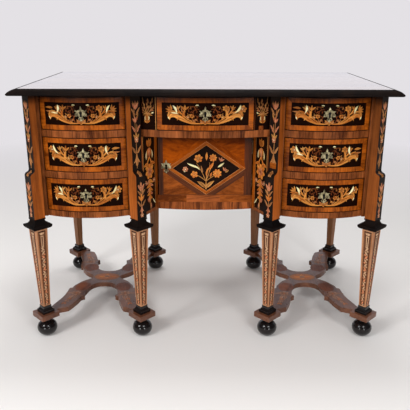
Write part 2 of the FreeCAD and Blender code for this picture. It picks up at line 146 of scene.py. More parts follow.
def wire(tree, kind, settings=None, **sockets):
    """Adds a node and returns its outputs; each named socket gets a value or a link.
    Sockets without a name of their own are called i0, i1 and so on."""
    node = tree.nodes.new("ShaderNode" + kind)
    for key, value in (settings or {}).items():
        setattr(node, key, value)
    for key, value in sockets.items():
        spot = node.inputs[int(key[1:]) if key[0] == "i" and key[1:].isdigit() else key.replace("_", " ")]
        if isinstance(value, bpy.types.NodeSocket):
            tree.links.new(value, spot)
        else:
            spot.default_value = value
    return node.outputs


def math_node(tree, operation, first, second, clamp=False):
    return wire(tree, "Math", {"operation": operation, "use_clamp": clamp}, i0=first, i1=second)[0]


def vector_math(tree, operation, **sockets):
    return wire(tree, "VectorMath", {"operation": operation}, **sockets)


def remap(tree, value, from_min, from_max, to_min=0.0, to_max=1.0):
    return wire(tree, "MapRange", Value=value, From_Min=from_min, From_Max=from_max,
                To_Min=to_min, To_Max=to_max)[0]


def mix(tree, share, first, second):
    return wire(tree, "MixRGB", Fac=share, Color1=first, Color2=second)[0]


def here(tree):
    """The object's own coordinates."""
    return wire(tree, "TexCoord")["Object"]


def show(tree, outputs, shader):
    """Links a group's colour and roughness to a Principled shader's inputs."""
    tree.links.new(outputs["Color"], shader["Base Color"])
    tree.links.new(outputs["Roughness"], shader["Roughness"])


# %% Grain group
grain, g_in, g_out = new_group(
    "Grain", dict(Place="Vector", Light="Color", Dark="Color", Length=0.06, Width=0.003, Contrast=1.0),
    dict(Color="Color", Streak="Float"))
along, across = (math_node(grain, "DIVIDE", 1.0, g_in[size]) for size in ("Length", "Width"))
rates = wire(grain, "CombineXYZ", X=along, Y=across, Z=across)[0]
spread = vector_math(grain, "MULTIPLY", i0=g_in["Place"], i1=rates)[0]
fine = wire(grain, "TexNoise", Vector=spread, Scale=1.0, Detail=5.0, Roughness=0.65)["Fac"]
broad = wire(grain, "TexNoise", Vector=spread, Scale=0.13, Detail=2.0, Distortion=0.6)["Fac"]
centred = math_node(grain, "SUBTRACT", math_node(grain, "ADD", fine, broad), 1.0)
share = math_node(grain, "ADD", math_node(grain, "MULTIPLY", centred, g_in["Contrast"]), 0.5, clamp=True)
grain.links.new(mix(grain, share, g_in["Dark"], g_in["Light"]), g_out["Color"])
grain.links.new(fine, g_out["Streak"])
print("grain group:", len(grain.nodes), "nodes")

# %% Old polish and painted shade group
# Painted shade under the top and under the frieze: the height where it starts, the height where it is full,
# and the share of colour left.
painted_shade_under_top = (0.742, 0.764, 0.1)
painted_shade_under_frieze = (0.606, 0.628, 0.25)
polish_and_shade, p_in, p_out = new_group(
    "Old polish and painted shade", dict(Place="Vector", Color="Color", Soil="Color", Amount=0.3, Smooth=0.25, Dull=0.5,
                       Level=0.0, Starts=0.0, Full=1.0, Least=1.0),
    dict(Color="Color", Roughness="Float"))
cloud = wire(polish_and_shade, "TexNoise", Vector=p_in["Place"], Scale=14.0, Detail=4.0, Roughness=0.6)["Fac"]
dirt = math_node(polish_and_shade, "MULTIPLY", remap(polish_and_shade, cloud, 0.35, 0.7), p_in["Amount"])
soiled = mix(polish_and_shade, dirt, p_in["Color"], p_in["Soil"])
wipe = wire(polish_and_shade, "TexNoise", Vector=p_in["Place"], Scale=60.0, Detail=3.0)["Fac"]
gloss = remap(polish_and_shade, wipe, 0.3, 0.7, p_in["Smooth"], p_in["Dull"])
# Painted shade: the colour darkens from Starts up to Full, down to the share Least.
shelter = remap(polish_and_shade, p_in["Level"], p_in["Starts"], p_in["Full"], 1.0, p_in["Least"])
polish_and_shade.links.new(vector_math(polish_and_shade, "SCALE", i0=soiled, Scale=shelter)[0], p_out["Color"])
polish_and_shade.links.new(gloss, p_out["Roughness"])
print("old polish group:", len(polish_and_shade.nodes), "nodes")

# %% [markdown]
# Wood finishes
#
# A finish joins the two groups to a Principled shader. On the boards the grain follows the
# object's own coordinates, turned so that the streaks run the right way. On the veneers
# that are laid piece by piece it follows their grain map, so each leaf of veneer has its
# own direction and its own patch of figure. Close under the top and under the frieze the
# colour is darkened as painted shade, the shadow of the overhangs.

# %% Finish builder
grain_depth = 0.0003
coat_roughness = 0.12


def new_material(name):
    """A material with its node tree and its Principled shader's inputs."""
    material = bpy.data.materials.new(name)
    material.use_nodes = True
    return material, material.node_tree, material.node_tree.nodes["Principled BSDF"].inputs


def finish(name, light, dark, soil=(52, 24, 8), length=0.06, width=0.003, contrast=1.6, turn=None,
           amount=0.35, smooth=0.3, dull=0.5, coat=0.04, specular=0.1, burnt=None, bump=0.15,
           shelter=painted_shade_under_top):
    """A polished wood; its colours are screen colours. turn gives the grain's direction on a
    board; without it the grain map is read. burnt is the colour of sand-scorched edges, read
    from the scorch layer. The last argument says between which heights the colour darkens
    as painted shade, and to what share."""
    material, tree, shader = new_material(name)
    if turn is None:
        place = wire(tree, "UVMap", {"uv_map": "grain"})[0]
    else:
        place = wire(tree, "Mapping", Vector=here(tree), Rotation=turn)[0]
    wood = wire(tree, "Group", {"node_tree": grain}, Place=place, Light=shown(*light), Dark=shown(*dark),
                Length=length, Width=width, Contrast=contrast)
    colour = wood["Color"]
    if burnt is not None:
        scorch = wire(tree, "Attribute", {"attribute_name": "scorch"})["Fac"]
        colour = mix(tree, scorch, colour, shown(*burnt))
    # Painted shade: the colour darkens with height inside the given span.
    shade_settings = dict(zip(("Starts", "Full", "Least"), shelter or ()))
    if shelter:
        shade_settings["Level"] = wire(tree, "SeparateXYZ", Vector=here(tree))["Z"]
    old = wire(tree, "Group", {"node_tree": polish_and_shade}, Place=place, Color=colour, Soil=shown(*soil),
               Amount=amount, Smooth=smooth, Dull=dull, **shade_settings)
    show(tree, old, shader)
    if bump:
        relief = wire(tree, "Bump", Height=wood["Streak"], Strength=bump, Distance=grain_depth)
        tree.links.new(relief[0], shader["Normal"])
    shader["Specular IOR Level"].default_value = specular
    shader["Coat Weight"].default_value = coat
    shader["Coat Roughness"].default_value = coat_roughness
    return material


def recolour(material, change):
    """Puts change(tree, colour), a new colour, between a finish and its shader."""
    tree = material.node_tree
    base = tree.nodes["Principled BSDF"].inputs["Base Color"]
    tree.links.new(change(tree, base.links[0].from_socket), base)
    return material


along_x = (0.0, 0.0, 0.0)
along_y = (0.0, 0.0, math.radians(90))
along_z = (0.0, math.radians(90), 0.0)
matt = dict(coat=0.0, specular=0.04)
black = dict(length=0.1, width=0.004, turn=along_x, bump=0.03, shelter=None)

rail_veneer = finish("rail crossbanding", (158, 88, 44), (58, 24, 8), length=0.05, width=0.0035,
                     contrast=1.9, turn=along_z, **matt)
panel_veneer = finish("walnut boards", (158, 80, 28), (98, 44, 12), length=0.12, width=0.006, turn=along_z)
# The top's pale colour is partly walnut and partly a painted reflection of the bright wall behind.
top_veneer = finish("top boards", (178, 144, 120), (70, 46, 36), length=0.9, width=0.028, contrast=2.2,
                    turn=along_x, amount=0.05, smooth=0.16, dull=0.24, coat=1.0, specular=0.8, bump=0.02,
                    shelter=None)
back_leg_veneer = finish("back leg veneer", (150, 104, 72), (104, 66, 40), length=0.08, width=0.004,
                         turn=along_z)
leg_veneer = finish("leg veneer", (212, 156, 116), (154, 104, 70), length=0.09, width=0.004,
                    turn=along_z, contrast=1.2)
stretcher_veneer = finish("stretcher veneer", (122, 76, 52), (72, 40, 26), length=0.07, width=0.005,
                          turn=along_y, smooth=0.26, dull=0.44, coat=0.16, specular=0.3)
carcass_wood = finish("plain carcass wood", (136, 92, 52), (98, 62, 32), length=0.15, width=0.008,
                      turn=along_x, coat=0.0, smooth=0.5, dull=0.75)
black_polish = finish("black polish", (24, 21, 21), (12, 11, 13), (44, 30, 22), amount=0.2, smooth=0.14,
                      dull=0.26, coat=0.3, specular=0.2, **black)
black_edge = finish("black edge moulding", (22, 18, 17), (10, 9, 10), (48, 32, 22), amount=0.3,
                    smooth=0.45, dull=0.6, coat=0.0, specular=0.02, **black)
print("board finishes:", len(bpy.data.materials))

# %% [markdown]
# Finishes on the boards
#
# The desk's boards are carried over as they are. Each takes the finish that its place on
# the real desk has: black polish on mouldings and feet, crossbanding on the front frames,
# plain wood where nobody looks. They could be picked by hand, but the boards' names say
# enough for a short table. Round each keyhole the walnut is painted black as painted shade,
# the darkness inside the keyhole; a distance in the material draws that spot, with no piece
# of its own.

# %% Dress the boards
def dress(node, material):
    node.data.materials.clear()
    node.data.materials.append(material)


def middle_of(name):
    low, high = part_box(name)
    return (low + high) / 2


finish_of = ((("bun_feet", "leg_collars"), black_polish), (("top_edge_moulding", "leg_capitals"), black_edge),
             ("top_board", top_veneer), ("_back_leg", back_leg_veneer), ("_leg", leg_veneer),
             ("_stretcher", stretcher_veneer),
             (("_box", "case_bottoms", "dust_boards", "back_panel"), carcass_wood),
             (("_frame", "cupboard_sill"), rail_veneer), ("", panel_veneer))
for name, node in nodes.items():
    dress(node, next(material for endings, material in finish_of if name.endswith(endings)))

keyhole_shade_reach = 0.0135


def keyhole_finish(name, eye):
    """Walnut, painted black within reach of the keyhole's eye, as painted shade inside the keyhole."""
    # Painted shade: near the keyhole's eye the walnut turns black, the darkness inside the keyhole.
    def shaded_keyhole(tree, wood):
        spot = vector_math(tree, "MULTIPLY", i0=here(tree), i1=(1, 0, 1))[0]
        gap = vector_math(tree, "DISTANCE", i0=spot, i1=(eye.x, 0, eye.z))["Value"]
        return mix(tree, math_node(tree, "LESS_THAN", gap, keyhole_shade_reach), wood, shown(9, 7, 6))
    return recolour(finish(name, (128, 68, 30), (84, 42, 16), length=0.12, width=0.006, turn=along_z),
                    shaded_keyhole)


for name, node in nodes.items():
    if name.endswith("_drawer_front"):
        dress(node, keyhole_finish(name + " wood", middle_of(name)))
dress(nodes["cupboard_door"], keyhole_finish("cupboard door wood", middle_of("cupboard_door_escutcheon")))
print("dressed", len(nodes), "nodes")

# %% [markdown]
# Marquetry: the woods
#
# Marquetry is a picture cut from thin leaves of wood. On this desk the ground is ebony,
# and the scrolls and flowers are orange fruitwood, golden boxwood, rosy plum and white
# bone. The cutter dips each leaf in hot sand, which scorches it and gives it a shadow.
# A painted image could carry all this, but laid pieces keep their sharp edges from any
# distance, so here every petal is its own small sheet, with its scorch in a vertex layer.
# The drawers and the frieze have deeper woods than the cheeks, posts and door.

# %% Inlay woods
scorched = (84, 34, 8)
inlay = dict(length=0.02, width=0.002, amount=0.25, contrast=2.4, bump=0.0)
ebony = dict(length=0.05, width=0.002, amount=0.3, coat=0.0, bump=0.0)
ebony_ground = finish("ebony ground", (26, 12, 5), (12, 5, 2), (44, 20, 8), smooth=0.35, dull=0.55,
                      specular=0.04, **ebony)
fruitwood = finish("orange fruitwood", (246, 162, 72), (194, 92, 26), burnt=scorched, **inlay)
boxwood = finish("golden boxwood", (224, 160, 84), (150, 92, 38), burnt=(70, 44, 12), **inlay)
plumwood = finish("rosy plum", (238, 162, 116), (176, 94, 58), burnt=(72, 28, 18), **inlay)
bone = finish("bone", (250, 244, 196), (226, 212, 150), burnt=(150, 120, 70), **inlay)
stemwood = finish("brown stems", (212, 148, 88), (140, 84, 42), burnt=scorched, **inlay)
band_veneer = finish("crossband", (178, 90, 18), (100, 43, 5), length=0.03, width=0.006, contrast=2.6,
                     coat=0.0, specular=0.07)
padouk = finish("dark red wood", (146, 76, 38), (82, 38, 18), burnt=scorched, **inlay)
woods = [ebony_ground, fruitwood, boxwood, plumwood, bone, stemwood, band_veneer, padouk]
EBONY, FRUIT, BOX, PLUM, BONE, STEM, BAND, PADOUK = range(len(woods))

drawer_woods = list(woods)
drawer_woods[EBONY] = finish("deep ebony ground", (22, 6, 1), (10, 3, 1), (36, 12, 3), smooth=0.4, dull=0.6,
                             specular=0.02, **ebony)
for number, name, light, dark in (
        (FRUIT, "deep fruitwood", (216, 146, 68), (152, 74, 20)),
        (PLUM, "deep plum", (192, 130, 78), (140, 74, 36)),
        (STEM, "deep stems", (168, 116, 60), (110, 66, 28)),
        (PADOUK, "deep padouk", (122, 60, 24), (68, 30, 10))):
    drawer_woods[number] = finish(name, light, dark, burnt=(70, 26, 5), **inlay, **matt)
print("inlay woods:", [wood.name for wood in woods])

# %% [markdown]
# Marquetry: the cutter's tools
#
# Nearly every shape in floral marquetry is a strip that follows a curve: a stem is an even
# strip, a leaf is wide in the middle, a petal is wide near its tip. So one tool bends a
# small grid along arcs, and the others only choose its width. A panel gathers its pieces
# flat, in units of its own size, and a placing function lays each point on the board.

# %% Following a curve
def follow(start, heading, runs, share):
    """Point and angle a share of the way along arcs, each a length and a turn in degrees."""
    left = share * sum(length for length, bend in runs)
    x, y = start
    angle = math.radians(heading)
    for length, bend in runs:
        part = min(left, length)
        swing = math.radians(bend) * part / length
        chord = part if abs(swing) < 1e-6 else 2 * part / swing * math.sin(swing / 2)
        x += chord * math.cos(angle + swing / 2)
        y += chord * math.sin(angle + swing / 2)
        angle += swing
        left -= part
        if left <= 0:
            break
    return x, y, angle


print("a quarter round ends at", [round(v, 3) for v in follow((0, 0), 0, [(math.pi / 2, 90)], 1)])

# %% Panel of marquetry
veneer_lift = 0.00012
veneer_thickness = 0.0005


class Panel:
    """Marquetry drawn flat in units of unit metres; place(p, q, lift) lays it on a board.
    side -1 draws towards the other side, and mirror -1 says that place turns it over."""

    def __init__(self, place, unit=1.0, seed=0):
        self.bm = bmesh.new()
        self.grain = self.bm.loops.layers.uv.new("grain")
        self.scorch = self.bm.verts.layers.float.new("scorch")
        self.place = place
        self.unit = unit
        self.side = self.mirror = 1
        self.chance = random.Random(seed)

    def put(self, vert, p, q, lift, scorch):
        vert.co = self.place(self.side * p * self.unit, q * self.unit, lift)
        vert[self.scorch] = scorch

    def face_out(self, faces):
        if self.side * self.mirror < 0:
            bmesh.ops.reverse_faces(self.bm, faces=list(faces))

    def sheet(self, steps, halves, at, wood, level, scorch=None, grain=None, size=(1, 1), crown=0.0):
        """A grid laid by at(t, s), with t from 0 to 1 and s from -1 to 1; crown raises its
        middle. grain is its direction in degrees; without it the grain follows the strip."""
        made = bmesh.ops.create_grid(self.bm, x_segments=steps, y_segments=halves, size=0.5)["verts"]
        spot = {v: (v.co.x + 0.5, v.co.y * 2) for v in made}
        flat = {v: at(*spot[v]) for v in made}
        faces = {f for v in made for f in v.link_faces}
        leaf_of_veneer = (self.chance.uniform(0, 9), self.chance.uniform(0, 9))
        for face in faces:
            face.material_index = wood
            for loop in face.loops:
                t, s = spot[loop.vert]
                u, v = t * size[0], s * size[1] / 2
                if grain is not None:
                    p, q = flat[loop.vert]
                    turn = math.radians(grain)
                    u = p * math.cos(turn) + q * math.sin(turn)
                    v = q * math.cos(turn) - p * math.sin(turn)
                loop[self.grain].uv = (u * self.unit + leaf_of_veneer[0], v * self.unit + leaf_of_veneer[1])
        for v in made:
            lift = veneer_lift * (level + 1) + crown * (1 - spot[v][1] ** 2)
            self.put(v, *flat[v], lift, scorch(*spot[v]) if scorch else 0.0)
        self.face_out(faces)
        bmesh.ops.remove_doubles(self.bm, verts=made, dist=1e-6)

    def patch(self, corners, wood, level, steps=1, grain=0.0, halves=1):
        """A four-sided sheet; corners run round it, and the first side is divided."""
        a, b, c, d = corners

        def at(t, s):
            r = (s + 1) / 2
            return tuple((a[k] * (1 - t) + b[k] * t) * (1 - r) + (d[k] * (1 - t) + c[k] * t) * r
                         for k in (0, 1))
        self.sheet(steps, halves, at, wood, level, grain=grain)

    def oblong(self, x0, x1, y0, y1, wood, level, steps=1, grain=0.0):
        self.patch([(x0, y0), (x1, y0), (x1, y1), (x0, y1)], wood, level, steps, grain)

    def strip(self, start, heading, runs, breadth, wood, level, scorch=None, steps=8, halves=2, crown=0.0):
        """A strip that follows arcs. Returns where it ends and which way it points."""
        def at(t, s):
            x, y, angle = follow(start, heading, runs, t)
            off = s * breadth(t) / 2
            return x - off * math.sin(angle), y + off * math.cos(angle)
        length = sum(run[0] for run in runs)
        self.sheet(steps, halves, at, wood, level, scorch=scorch, size=(length, breadth(0.5)), crown=crown)
        x, y, angle = follow(start, heading, runs, 1)
        return (x, y), math.degrees(angle)

    def line(self, start, length, width, wood, level=1):
        """An upright string of one width."""
        self.strip(start, 90, [(length, 0)], lambda t: width, wood, level, steps=1)

    def stem(self, start, heading, runs, thick, thin, wood=STEM, level=1, steps=8):
        return self.strip(start, heading, runs, lambda t: thick + (thin - thick) * t, wood, level,
                          steps=steps, halves=1)

    def leaf(self, start, heading, length, width, turn=0, wood=FRUIT, level=2, fullness=0.75,
             dark=0.7, edge=0.0):
        """A leaf scorched in the middle, or with edge=1 at its right; fullness below 1 is
        wide near the stalk."""
        return self.strip(start, heading, [(length, turn)],
                          lambda t: width * math.sin(math.pi * min(t, 1) ** fullness) + 1e-4, wood, level,
                          scorch=lambda t, s: dark * max(0.0, 1 - abs(s + edge)) * (1 - 0.5 * t), steps=6)

    def disc(self, centre, radius, wood, level, scorch=0.0, rise=1.0):
        """A small round or oval piece."""
        made = bmesh.ops.create_circle(self.bm, cap_ends=True, segments=12, radius=1.0)["verts"]
        faces = {f for v in made for f in v.link_faces}
        for face in faces:
            face.material_index = wood
            for loop in face.loops:
                loop[self.grain].uv = (loop.vert.co.x * self.unit, loop.vert.co.y * self.unit)
        for v in made:
            self.put(v, centre[0] + v.co.x * radius, centre[1] + v.co.y * radius * rise,
                     veneer_lift * (level + 1), scorch)
        self.face_out(faces)

    def flower(self, centre, radius, petals=6, wood=FRUIT, heart=BOX, turn=0, level=3):
        """Petals round a heart, each scorched towards the middle."""
        wide = 1.35 * radius * math.sin(math.pi / petals)
        for k in range(petals):
            self.strip(centre, turn + 360 / petals * k, [(radius, 0)],
                       lambda t: wide * math.sin(math.pi * t ** 1.7 * 0.93 + 0.1), wood, level + k % 2,
                       scorch=lambda t, s: max(0.9 * (1 - t) ** 1.3, 0.5 * abs(s) * (1 - t)), steps=5)
        self.disc(centre, radius * 0.24, heart, level + 2, scorch=0.2)

    def tulip(self, base, heading, size, wood=FRUIT, level=3):
        """Three petals, the outer two bending away."""
        for lean, turn in ((-30, -20), (30, 20), (0, 0)):
            self.leaf(base, heading + lean, size, size * 0.27, turn, wood, level + (lean == 0), 1.1, 0.8)
        self.leaf(base, heading, size * 0.5, size * 0.34, 0, wood, level + 2, 1.0, 0.6)

    def lay(self, name, body, finishes=None, thickness=veneer_thickness):
        """Turns the drawing into a finished piece that rides on a body."""
        data = bpy.data.meshes.new(name)
        self.bm.to_mesh(data)
        self.bm.free()
        for material in finishes or woods:
            data.materials.append(material)
        piece = bpy.data.objects.new(name, data)
        bpy.context.scene.collection.objects.link(piece)
        solid = piece.modifiers.new("thickness", "SOLIDIFY")
        solid.thickness = thickness
        solid.offset = -1
        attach(piece, body)
        return piece


# %% [markdown]
# Where the boards are
#
# The pedestal fronts and the frieze are bowed: in plan each is one arc, 27 mm deep. A
# placing function follows that arc, and others follow a flat board at any angle.

# %% Placing functions
bow = 0.027
up = Vector((0, 0, 1))


def on_bow(x_middle, y_front, z_middle, half_width):
    """Places points on an arc that is bow deep across twice half_width."""
    radius = (half_width ** 2 + bow ** 2) / (2 * bow)

    def place(p, q, lift):
        return Vector((x_middle + p, y_front + radius - math.sqrt(radius ** 2 - p ** 2) - lift, z_middle + q))
    return place


def on_plane(origin, outward):
    """Places points on an upright plane that looks outward."""
    outward = Vector(outward).normalized()
    sideways = up.cross(outward)

    def place(p, q, lift):
        return Vector(origin) + sideways * p + up * q + outward * lift
    return place


print("bow radius", round((0.124 ** 2 + bow ** 2) / (2 * bow), 3), "m")

# %% [markdown]
# Drawer fronts
#
# Each drawer front is an ebony panel in an orange crossband, whose four strips meet in
# mitres. On the ebony, two acanthus scrolls spring from the middle of the bottom edge,
# run out along it and burst into leaves, and flowers rise from them. The ebony is cut out
# round the keyhole.

# %% Crossband and ground
band_width = 0.0158
string_width = 0.0016
keyhole_radius = 0.0041
keyhole_half_slot = 0.0029
keyhole_drop = 0.0122
keyhole_rise = 0.0036


def mitred_frame(panel, half_p, half_q, band, wood, level, steps=24, halves=4):
    """Four mitred strips round an oblong, outer size half_p by half_q, grain across them."""
    in_p, in_q = half_p - band, half_q - band
    for way in (-1, 1):
        long_strip = [(-half_p, way * half_q), (half_p, way * half_q),
                      (in_p, way * in_q), (-in_p, way * in_q)]
        end_strip = [(way * half_p, -half_q), (way * half_p, half_q),
                     (way * in_p, in_q), (way * in_p, -in_q)]
        if way > 0:
            long_strip.reverse()
        else:
            end_strip = [end_strip[k] for k in (1, 0, 3, 2)]
        panel.patch(long_strip, wood, level, steps, 90, halves)
        panel.patch(end_strip, wood, level, 1, 0, halves)


def keyhole_reach(angle):
    """How far the keyhole's edge lies from the middle of its eye."""
    if math.sin(angle) < 0 and abs(math.cos(angle)) * keyhole_radius <= keyhole_half_slot:
        sideways = keyhole_half_slot / max(abs(math.cos(angle)), 1e-6)
        return min(sideways, keyhole_drop / -math.sin(angle))
    return keyhole_radius


def around_keyhole(panel, reach, corners, wood, level, halves=1, crown=0.0):
    """A sheet between the keyhole and an outer edge; corners are angles it must not miss."""
    slot = math.atan2(keyhole_drop, keyhole_half_slot)
    neck = math.acos(keyhole_half_slot / keyhole_radius)
    angles = [math.radians(15 * k - 180) for k in range(24)] + list(corners)
    angles = sorted(set(angles + [-slot, slot - math.pi, -neck - 0.001, neck - math.pi + 0.001]))
    angles.append(angles[0] + 2 * math.pi)

    def at(t, s):
        angle = angles[round(t * (len(angles) - 1))]
        inner = keyhole_reach(angle) / panel.unit
        far = inner + (reach(angle) - inner) * (1 - s) / 2
        return far * math.cos(angle), far * math.sin(angle) + keyhole_rise / panel.unit
    panel.sheet(len(angles) - 1, halves, at, wood, level, grain=0.0, crown=crown)


def banded_ground(panel, half_p, half_q, band):
    """Ebony panel, mitred bands and a dark string at the edge, in the panel's units."""
    inner_p, inner_q = half_p - band, half_q - band
    rise = keyhole_rise / panel.unit
    upper, lower = inner_q - rise, inner_q + rise
    square = [math.atan2(y, x) for y in (upper, -lower) for x in (lower, -lower)]

    def square_reach(angle):
        far_up = (upper if math.sin(angle) > 0 else lower) / max(abs(math.sin(angle)), 1e-6)
        return min(far_up, lower / max(abs(math.cos(angle)), 1e-6))
    around_keyhole(panel, square_reach, square, EBONY, 0, halves=10)
    for near, far in ((-inner_p, -lower), (lower, inner_p)):
        panel.oblong(near, far, -inner_q, inner_q, EBONY, 0, steps=12)
    mitred_frame(panel, half_p, half_q, band, BAND, 0)
    mitred_frame(panel, half_p, half_q, string_width / panel.unit, EBONY, 1, halves=1)


# %% Acanthus scroll
def profile(*points):
    """Breadth along a strip, from (share, breadth) pairs joined by straight runs."""
    def at(t):
        for (t0, w0), (t1, w1) in zip(points, points[1:]):
            if t <= t1:
                return w0 + (w1 - w0) * (t - t0) / (t1 - t0)
        return points[-1][1]
    return at


def scroll_half(panel, side):
    """One half of a drawer's scroll, in units of the panel's half height."""
    panel.side = side
    panel.flower((0.0, -0.74), 0.2, 5, FRUIT, PLUM, turn=-90, level=6)
    for heading, size, turn, wood in ((60, 0.3, -30, PLUM), (20, 0.36, 50, FRUIT), (-20, 0.3, 60, PLUM)):
        panel.leaf((0.14, -0.7), heading, size, 0.11, turn, wood, 3)
    for spot, heading, size, width, turn in (
            ((1.86, -0.5), -16, 0.4, 0.14, -64), ((1.9, -0.12), 44, 0.38, 0.16, -70),
            ((2.16, -0.08), 32, 0.46, 0.17, -84), ((2.44, -0.1), 12, 0.5, 0.18, -100),
            ((2.62, -0.26), -34, 0.5, 0.17, -76)):
        panel.leaf(spot, heading, size, width, turn, FRUIT, 3, 0.6, 1.0, edge=0.7)
    for spot, heading, size, width, turn, edge in (
            ((0.95, -0.76), 8, 0.9, 0.17, 24, -0.7), ((1.5, -0.58), 22, 0.8, 0.2, -16, 0.8),
            ((1.86, -0.34), 24, 0.66, 0.2, -46, -0.8)):
        panel.leaf(spot, heading, size, width, turn, FRUIT, 3, 0.8, 1.0, edge=edge)
    panel.leaf((2.78, -0.56), -96, 0.26, 0.08, -30, BONE, 4, 0.8, 0.2)
    panel.strip((0.14, -0.8), -6, [(0.62, 10), (1.4, 26), (0.6, -84), (0.34, -50)],
                profile((0, 0.07), (0.21, 0.12), (0.32, 0.19), (0.45, 0.28), (0.58, 0.37), (0.7, 0.43),
                        (0.8, 0.36), (0.9, 0.22), (1, 0.03)), FRUIT, 2,
                scorch=lambda t, s: 0.75 * max(0.0, 1 - 3 * abs(s)) * min(1, 3 - 3 * t) * min(1, 2 * t)
                + 0.5 * max(0.0, -s - 0.5) * t, steps=30, halves=6)
    for spot, heading, size, width in (((0.72, -0.74), 38, 0.3, 0.1), ((0.94, -0.68), 44, 0.36, 0.12),
                                       ((1.18, -0.58), 52, 0.4, 0.13), ((1.42, -0.46), 62, 0.4, 0.13)):
        panel.leaf(spot, heading, size, width, -44, FRUIT, 4, dark=1.0, edge=-0.7)
    panel.strip((1.62, -0.42), 86, [(0.34, 10), (0.26, -12)], profile((0, 0.3), (0.5, 0.2), (1, 0.12)),
                FRUIT, 3, scorch=lambda t, s: 0.6 * max(0.0, s))
    panel.strip((1.72, -0.16), 20, [(0.3, 44), (0.36, -50)],
                lambda t: 0.14 * math.sin(math.pi * (0.2 + 0.78 * t)), FRUIT, 4,
                scorch=lambda t, s: 0.7 * max(0.0, -s))


# %% Flowers over the scroll
def end_flower(panel, kind):
    """The flower at the panel's outer corner: a star, a fan, or two long buds."""
    if kind == 0:
        panel.flower((2.78, 0.44), 0.34, 6, FRUIT, BONE, turn=10)
        panel.flower((2.78, 0.44), 0.17, 6, PLUM, BONE, turn=40, level=5)
    elif kind == 1:
        for lean in (-52, -20, 12, 44):
            panel.leaf((2.5, 0.34), 26 + lean, 0.5, 0.15, 16, FRUIT, 3, edge=0.5)
    else:
        panel.leaf((2.42, 0.5), 14, 0.68, 0.2, -20, FRUIT, 3, edge=0.4)
        panel.leaf((2.4, 0.2), -4, 0.72, 0.16, 14, PLUM, 3, edge=0.4)
    panel.stem((2.05, 0.0), 50, [(0.62, -34)], 0.05, 0.03, BOX, 2)


def small_scroll(panel, wood):
    """Curled stems, little flowers and leaves between the lock plate and the branch."""
    for start, angle, runs in (
            ((0.52, -0.7), 60, [(0.46, 36), (0.34, -150)]), ((1.5, -0.3), 128, [(0.5, 30), (0.28, 140)]),
            ((0.94, 0.08), 96, [(0.34, 36), (0.4, 90)]), ((1.22, 0.2), 64, [(0.26, 50), (0.26, 130)]),
            ((0.86, -0.44), 28, [(0.4, 40), (0.3, 150)]), ((0.68, 0.3), 80, [(0.4, -30), (0.24, -110)])):
        panel.stem(start, angle, runs, 0.07, 0.035, PADOUK if angle < 120 else STEM)
    panel.flower((1.0, -0.16), 0.19, 6, FRUIT, PADOUK, turn=panel.chance.uniform(0, 60))
    panel.flower((1.3, -0.26), 0.13, 5, wood, BONE, turn=20)
    panel.flower((0.72, -0.5), 0.11, 5, wood, BOX, turn=50)
    for spot, heading, size, turn, kind in (
            ((1.14, 0.1), 118, 0.34, 40, PADOUK), ((1.06, 0.42), 66, 0.32, 40, STEM),
            ((0.62, -0.34), 124, 0.3, -30, PADOUK), ((0.74, -0.66), 26, 0.34, 30, PLUM),
            ((1.42, -0.42), 150, 0.26, 30, PADOUK), ((0.86, 0.02), 60, 0.26, -40, PADOUK),
            ((0.66, 0.1), 96, 0.24, 30, PADOUK), ((1.2, -0.08), 30, 0.24, 50, STEM),
            ((0.9, 0.62), 10, 0.24, 40, PADOUK), ((0.56, 0.62), 40, 0.28, -60, STEM)):
        panel.leaf(spot, heading, size, 0.085, turn, kind, 2)
    panel.leaf((0.46, 0.78), 20, 0.3, 0.09, -40, BONE, 3, 0.9, 0.3)


def scroll_flowers(panel, variant):
    """Flowers, buds and white blades above the scroll; the variant changes them."""
    tip, heading = panel.stem((1.58, 0.12), 104, [(0.2, -10)], 0.12, 0.08, FRUIT)
    if variant % 2:
        panel.tulip(tip, heading, 0.52, FRUIT)
    else:
        panel.flower((tip[0], tip[1] + 0.2), 0.28, 6, FRUIT, STEM, turn=30)
    tip, heading = panel.stem((1.8, -0.02), 54, [(0.5, 22)], 0.07, 0.05, BOX)
    panel.tulip(tip, heading, 0.36, BOX if variant % 2 else FRUIT)
    panel.leaf((1.72, 0.12), 84, 0.5, 0.09, -14, PLUM, 3)
    panel.leaf((2.22, 0.02), 14, 0.74, 0.1, -38, STEM, 2)
    end_flower(panel, variant % 3)
    blades = (((2.16, 0.08), 26, 0.94, 0.17, 62), ((2.16, 0.04), 96, 0.8, 0.17, -54),
              ((2.1, 0.06), 128, 0.8, 0.17, -58))
    panel.leaf(*blades[variant % 3], BONE, 7, 1.3, 0.25, edge=0.6)
    if variant % 4 == 1:
        panel.leaf((2.0, 0.0), 26, 0.6, 0.12, -30, BONE, 5, 1.2, 0.05)
    small_scroll(panel, PLUM if variant % 3 else FRUIT)


# %% Drawer marquetry
drawers = [body for body in frame["bodies"] if body.endswith("_drawer")]
frieze_half = 0.186
drawing_half = 3.18
widest_spread = 1.18
scroll_rise = 0.19


def front_of(body):
    """Half width, half height and placing function of a drawer's front."""
    low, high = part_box(body + "_front")
    middle = (low + high) / 2
    half_p, half_q = (high.x - low.x) / 2, (high.z - low.z) / 2
    arc_half = frieze_half if body == "frieze_drawer" else half_p
    return half_p, half_q, on_bow(middle.x, low.y, middle.z, arc_half)


def spread_out(place, spread):
    return lambda p, q, lift: place(p * spread, q, lift)


def rising(place, unit):
    """Lifts the outer ends of a scroll, so that black shows under them."""
    return lambda p, q, lift: place(p, q + scroll_rise * max(0.0, abs(p) - unit), lift)


